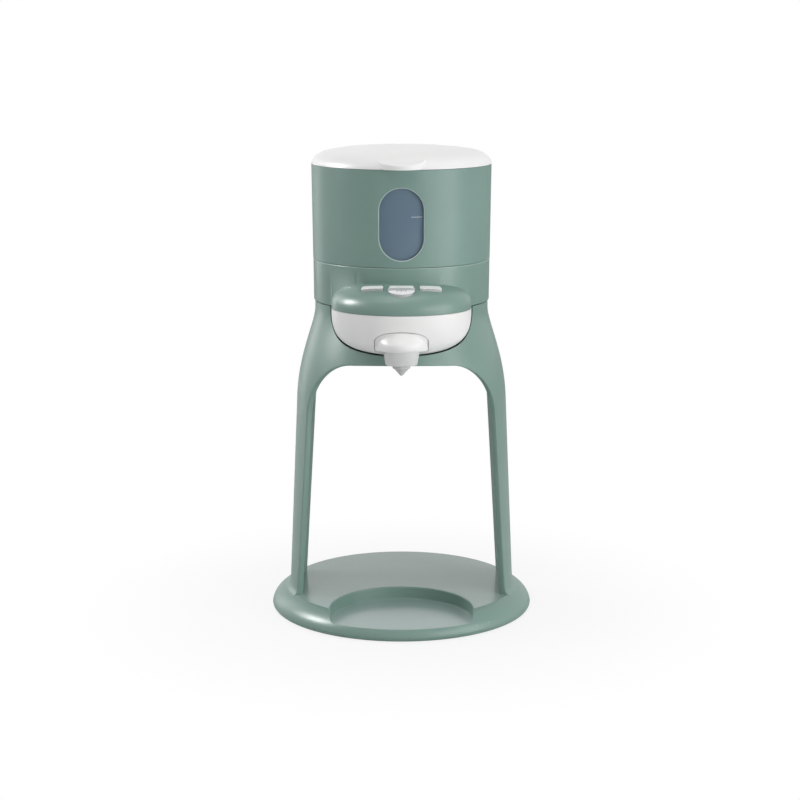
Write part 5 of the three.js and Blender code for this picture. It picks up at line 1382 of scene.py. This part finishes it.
# %% Finishes for the CAD nodes
node_finishes = {
    dark_moulding: ["base_cover", "water_outlet", "inlet_socket", "key_switch", "pump"],
    black_rubber: ["base_foot", "tank_outlet_seal", "lid_seal"],
    bright_steel: [
        "cover_screw", "leg_screw", "board_screw", "chassis_screw", "valve_spring", "lid_hinge_pin",
    ],
    lacquered_board: ["control_board", "power_board"],
    white_inner: ["powder_basket", "valve_cap"],
    grey_silicone: ["valve_poppet", "hose_inlet", "hose_pump", "hose_outlet"],
    cast_aluminium: ["flow_heater"],
    sage_satin: ["chassis_floor"],
}
painted = 0
for material, prefixes in node_finishes.items():
    for name, node in nodes.items():
        if name.startswith(tuple(prefixes)):
            node.data.materials.clear()
            node.data.materials.append(material)
            painted += 1
bare = [
    name for name, node in nodes.items()
    if not node.hide_render and node.data.materials[0] not in node_finishes
]
print(f"{painted} CAD nodes painted, {bare} left bare")

# %% [markdown]
# ## Floor, light and background
#
# The product stands on a white table in a studio. The floor is a real surface, so the base throws its
# shadow on it, and away from the machine it fades into a plain white that only the camera sees. The lamps
# stand on both sides and above, over a weak even light from all round. One more lamp on the left adds shine
# alone: it is kept off the diffuse colour, so it draws a highlight and lights nothing else.

# %% Floor
def wire(tree, *links):
    """Joins each pair of sockets: an output, and the input that it feeds."""
    for output, entry in links:
        tree.links.new(output, entry)


def math_node(tree, operation):
    """A Math node set to one operation."""
    node = tree.nodes.new("ShaderNodeMath")
    node.operation = operation
    return node


floor_half = 12
floor_mesh = bpy.data.meshes.new("floor")
floor_corners = [(x * floor_half, y * floor_half, 0) for x, y in ((-1, -1), (1, -1), (1, 1), (-1, 1))]
floor_mesh.from_pydata(floor_corners, [], [(0, 1, 2, 3)])
floor = bpy.data.objects.new("floor", floor_mesh)
bpy.context.scene.collection.objects.link(floor)
floor_paint = bpy.data.materials.new("white_table")
floor_paint.use_nodes = True
tree = floor_paint.node_tree
table = tree.nodes["Principled BSDF"]
table.inputs["Base Color"].default_value = (0.86, 0.86, 0.86, 1)
table.inputs["Roughness"].default_value = 0.9
table.inputs["Specular IOR Level"].default_value = 0.1
glow = tree.nodes.new("ShaderNodeEmission")
path = tree.nodes.new("ShaderNodeLightPath")
where = tree.nodes.new("ShaderNodeTexCoord")
away = tree.nodes.new("ShaderNodeVectorMath")
away.operation = "LENGTH"
fade = tree.nodes.new("ShaderNodeMapRange")
fade.interpolation_type = "SMOOTHSTEP"
fade_values = {"From Min": 0.1, "From Max": 0.3, "To Min": 0.86, "To Max": 1.0}
for label, value in fade_values.items():
    fade.inputs[label].default_value = value
seen = math_node(tree, "MULTIPLY")
blend = tree.nodes.new("ShaderNodeMixShader")
wire(
    tree,
    (where.outputs["Object"], away.inputs[0]),
    (away.outputs["Value"], fade.inputs["Value"]),
    (fade.outputs["Result"], seen.inputs[0]),
    (path.outputs["Is Camera Ray"], seen.inputs[1]),
    (seen.outputs["Value"], blend.inputs["Fac"]),
    (table.outputs["BSDF"], blend.inputs[1]),
    (glow.outputs["Emission"], blend.inputs[2]),
    (blend.outputs["Shader"], tree.nodes["Material Output"].inputs["Surface"]),
)
floor_mesh.materials.append(floor_paint)
print(f"floor of {2 * floor_half} m, fading to white from {fade_values['From Min']} m")

# %% World
world = bpy.data.worlds.new("studio")
bpy.context.scene.world = world
world.use_nodes = True
tree = world.node_tree
ambient = tree.nodes["Background"]
ambient.inputs["Color"].default_value = (1, 1, 1, 1)
ambient.inputs["Strength"].default_value = 0.25
backdrop = tree.nodes.new("ShaderNodeBackground")
backdrop.inputs["Color"].default_value = (1, 1, 1, 1)
backdrop.inputs["Strength"].default_value = 1
path = tree.nodes.new("ShaderNodeLightPath")
either = math_node(tree, "MAXIMUM")
any_ray = math_node(tree, "MAXIMUM")
blend = tree.nodes.new("ShaderNodeMixShader")
wire(
    tree,
    (path.outputs["Is Camera Ray"], either.inputs[0]),
    (path.outputs["Is Transmission Ray"], either.inputs[1]),
    (either.outputs["Value"], any_ray.inputs[0]),
    (path.outputs["Is Glossy Ray"], any_ray.inputs[1]),
    (any_ray.outputs["Value"], blend.inputs["Fac"]),
    (ambient.outputs["Background"], blend.inputs[1]),
    (backdrop.outputs["Background"], blend.inputs[2]),
    (blend.outputs["Shader"], tree.nodes["World Output"].inputs["Surface"]),
)
bpy.context.scene.view_settings.view_transform = "Standard"
print("world at", ambient.inputs["Strength"].default_value)


# %% Lamps
lamp_aim = Vector((0, 0, 0.2))


def lamp(name, round_it, up, far, width, height, power):
    """A rectangular lamp on a sphere round the machine's middle. Its place is given by an angle round the
    machine from the front, an angle up and a distance, and its own -Z axis is turned to the middle."""
    data = bpy.data.lights.new(name, "AREA")
    data.shape = "RECTANGLE"
    data.size, data.size_y = width, height
    data.energy = power
    light = bpy.data.objects.new(name, data)
    turn, rise = math.radians(round_it), math.radians(up)
    level = math.cos(rise)
    way = Vector((math.sin(turn) * level, -math.cos(turn) * level, math.sin(rise)))
    light.location = lamp_aim + way * far
    light.rotation_euler = (-way).to_track_quat("-Z", "Y").to_euler()
    bpy.context.scene.collection.objects.link(light)
    return light


lamps = {
    "right_strip": (62, 4, 1.4, 0.5, 1.0, 7.6),
    "right_key": (38, 10, 1.6, 0.22, 0.2, 3.8),
    "left_key": (-100, 26, 1.3, 0.5, 0.5, 3.9),
    "left_rim": (-135, 10, 1.4, 0.3, 1.0, 2.4),
    "left_glint": (-90, 29, 1.3, 0.34, 0.34, 19.0),
    "top": (0, 84, 1.4, 0.9, 0.9, 5.0),
    "front_top": (-20, 60, 1.4, 0.6, 0.6, 2.2),
}
lights = {name: lamp(name, *values) for name, values in lamps.items()}
lights["left_glint"].visible_diffuse = False
print(len(lights), "lamps, of which the glint adds shine alone")
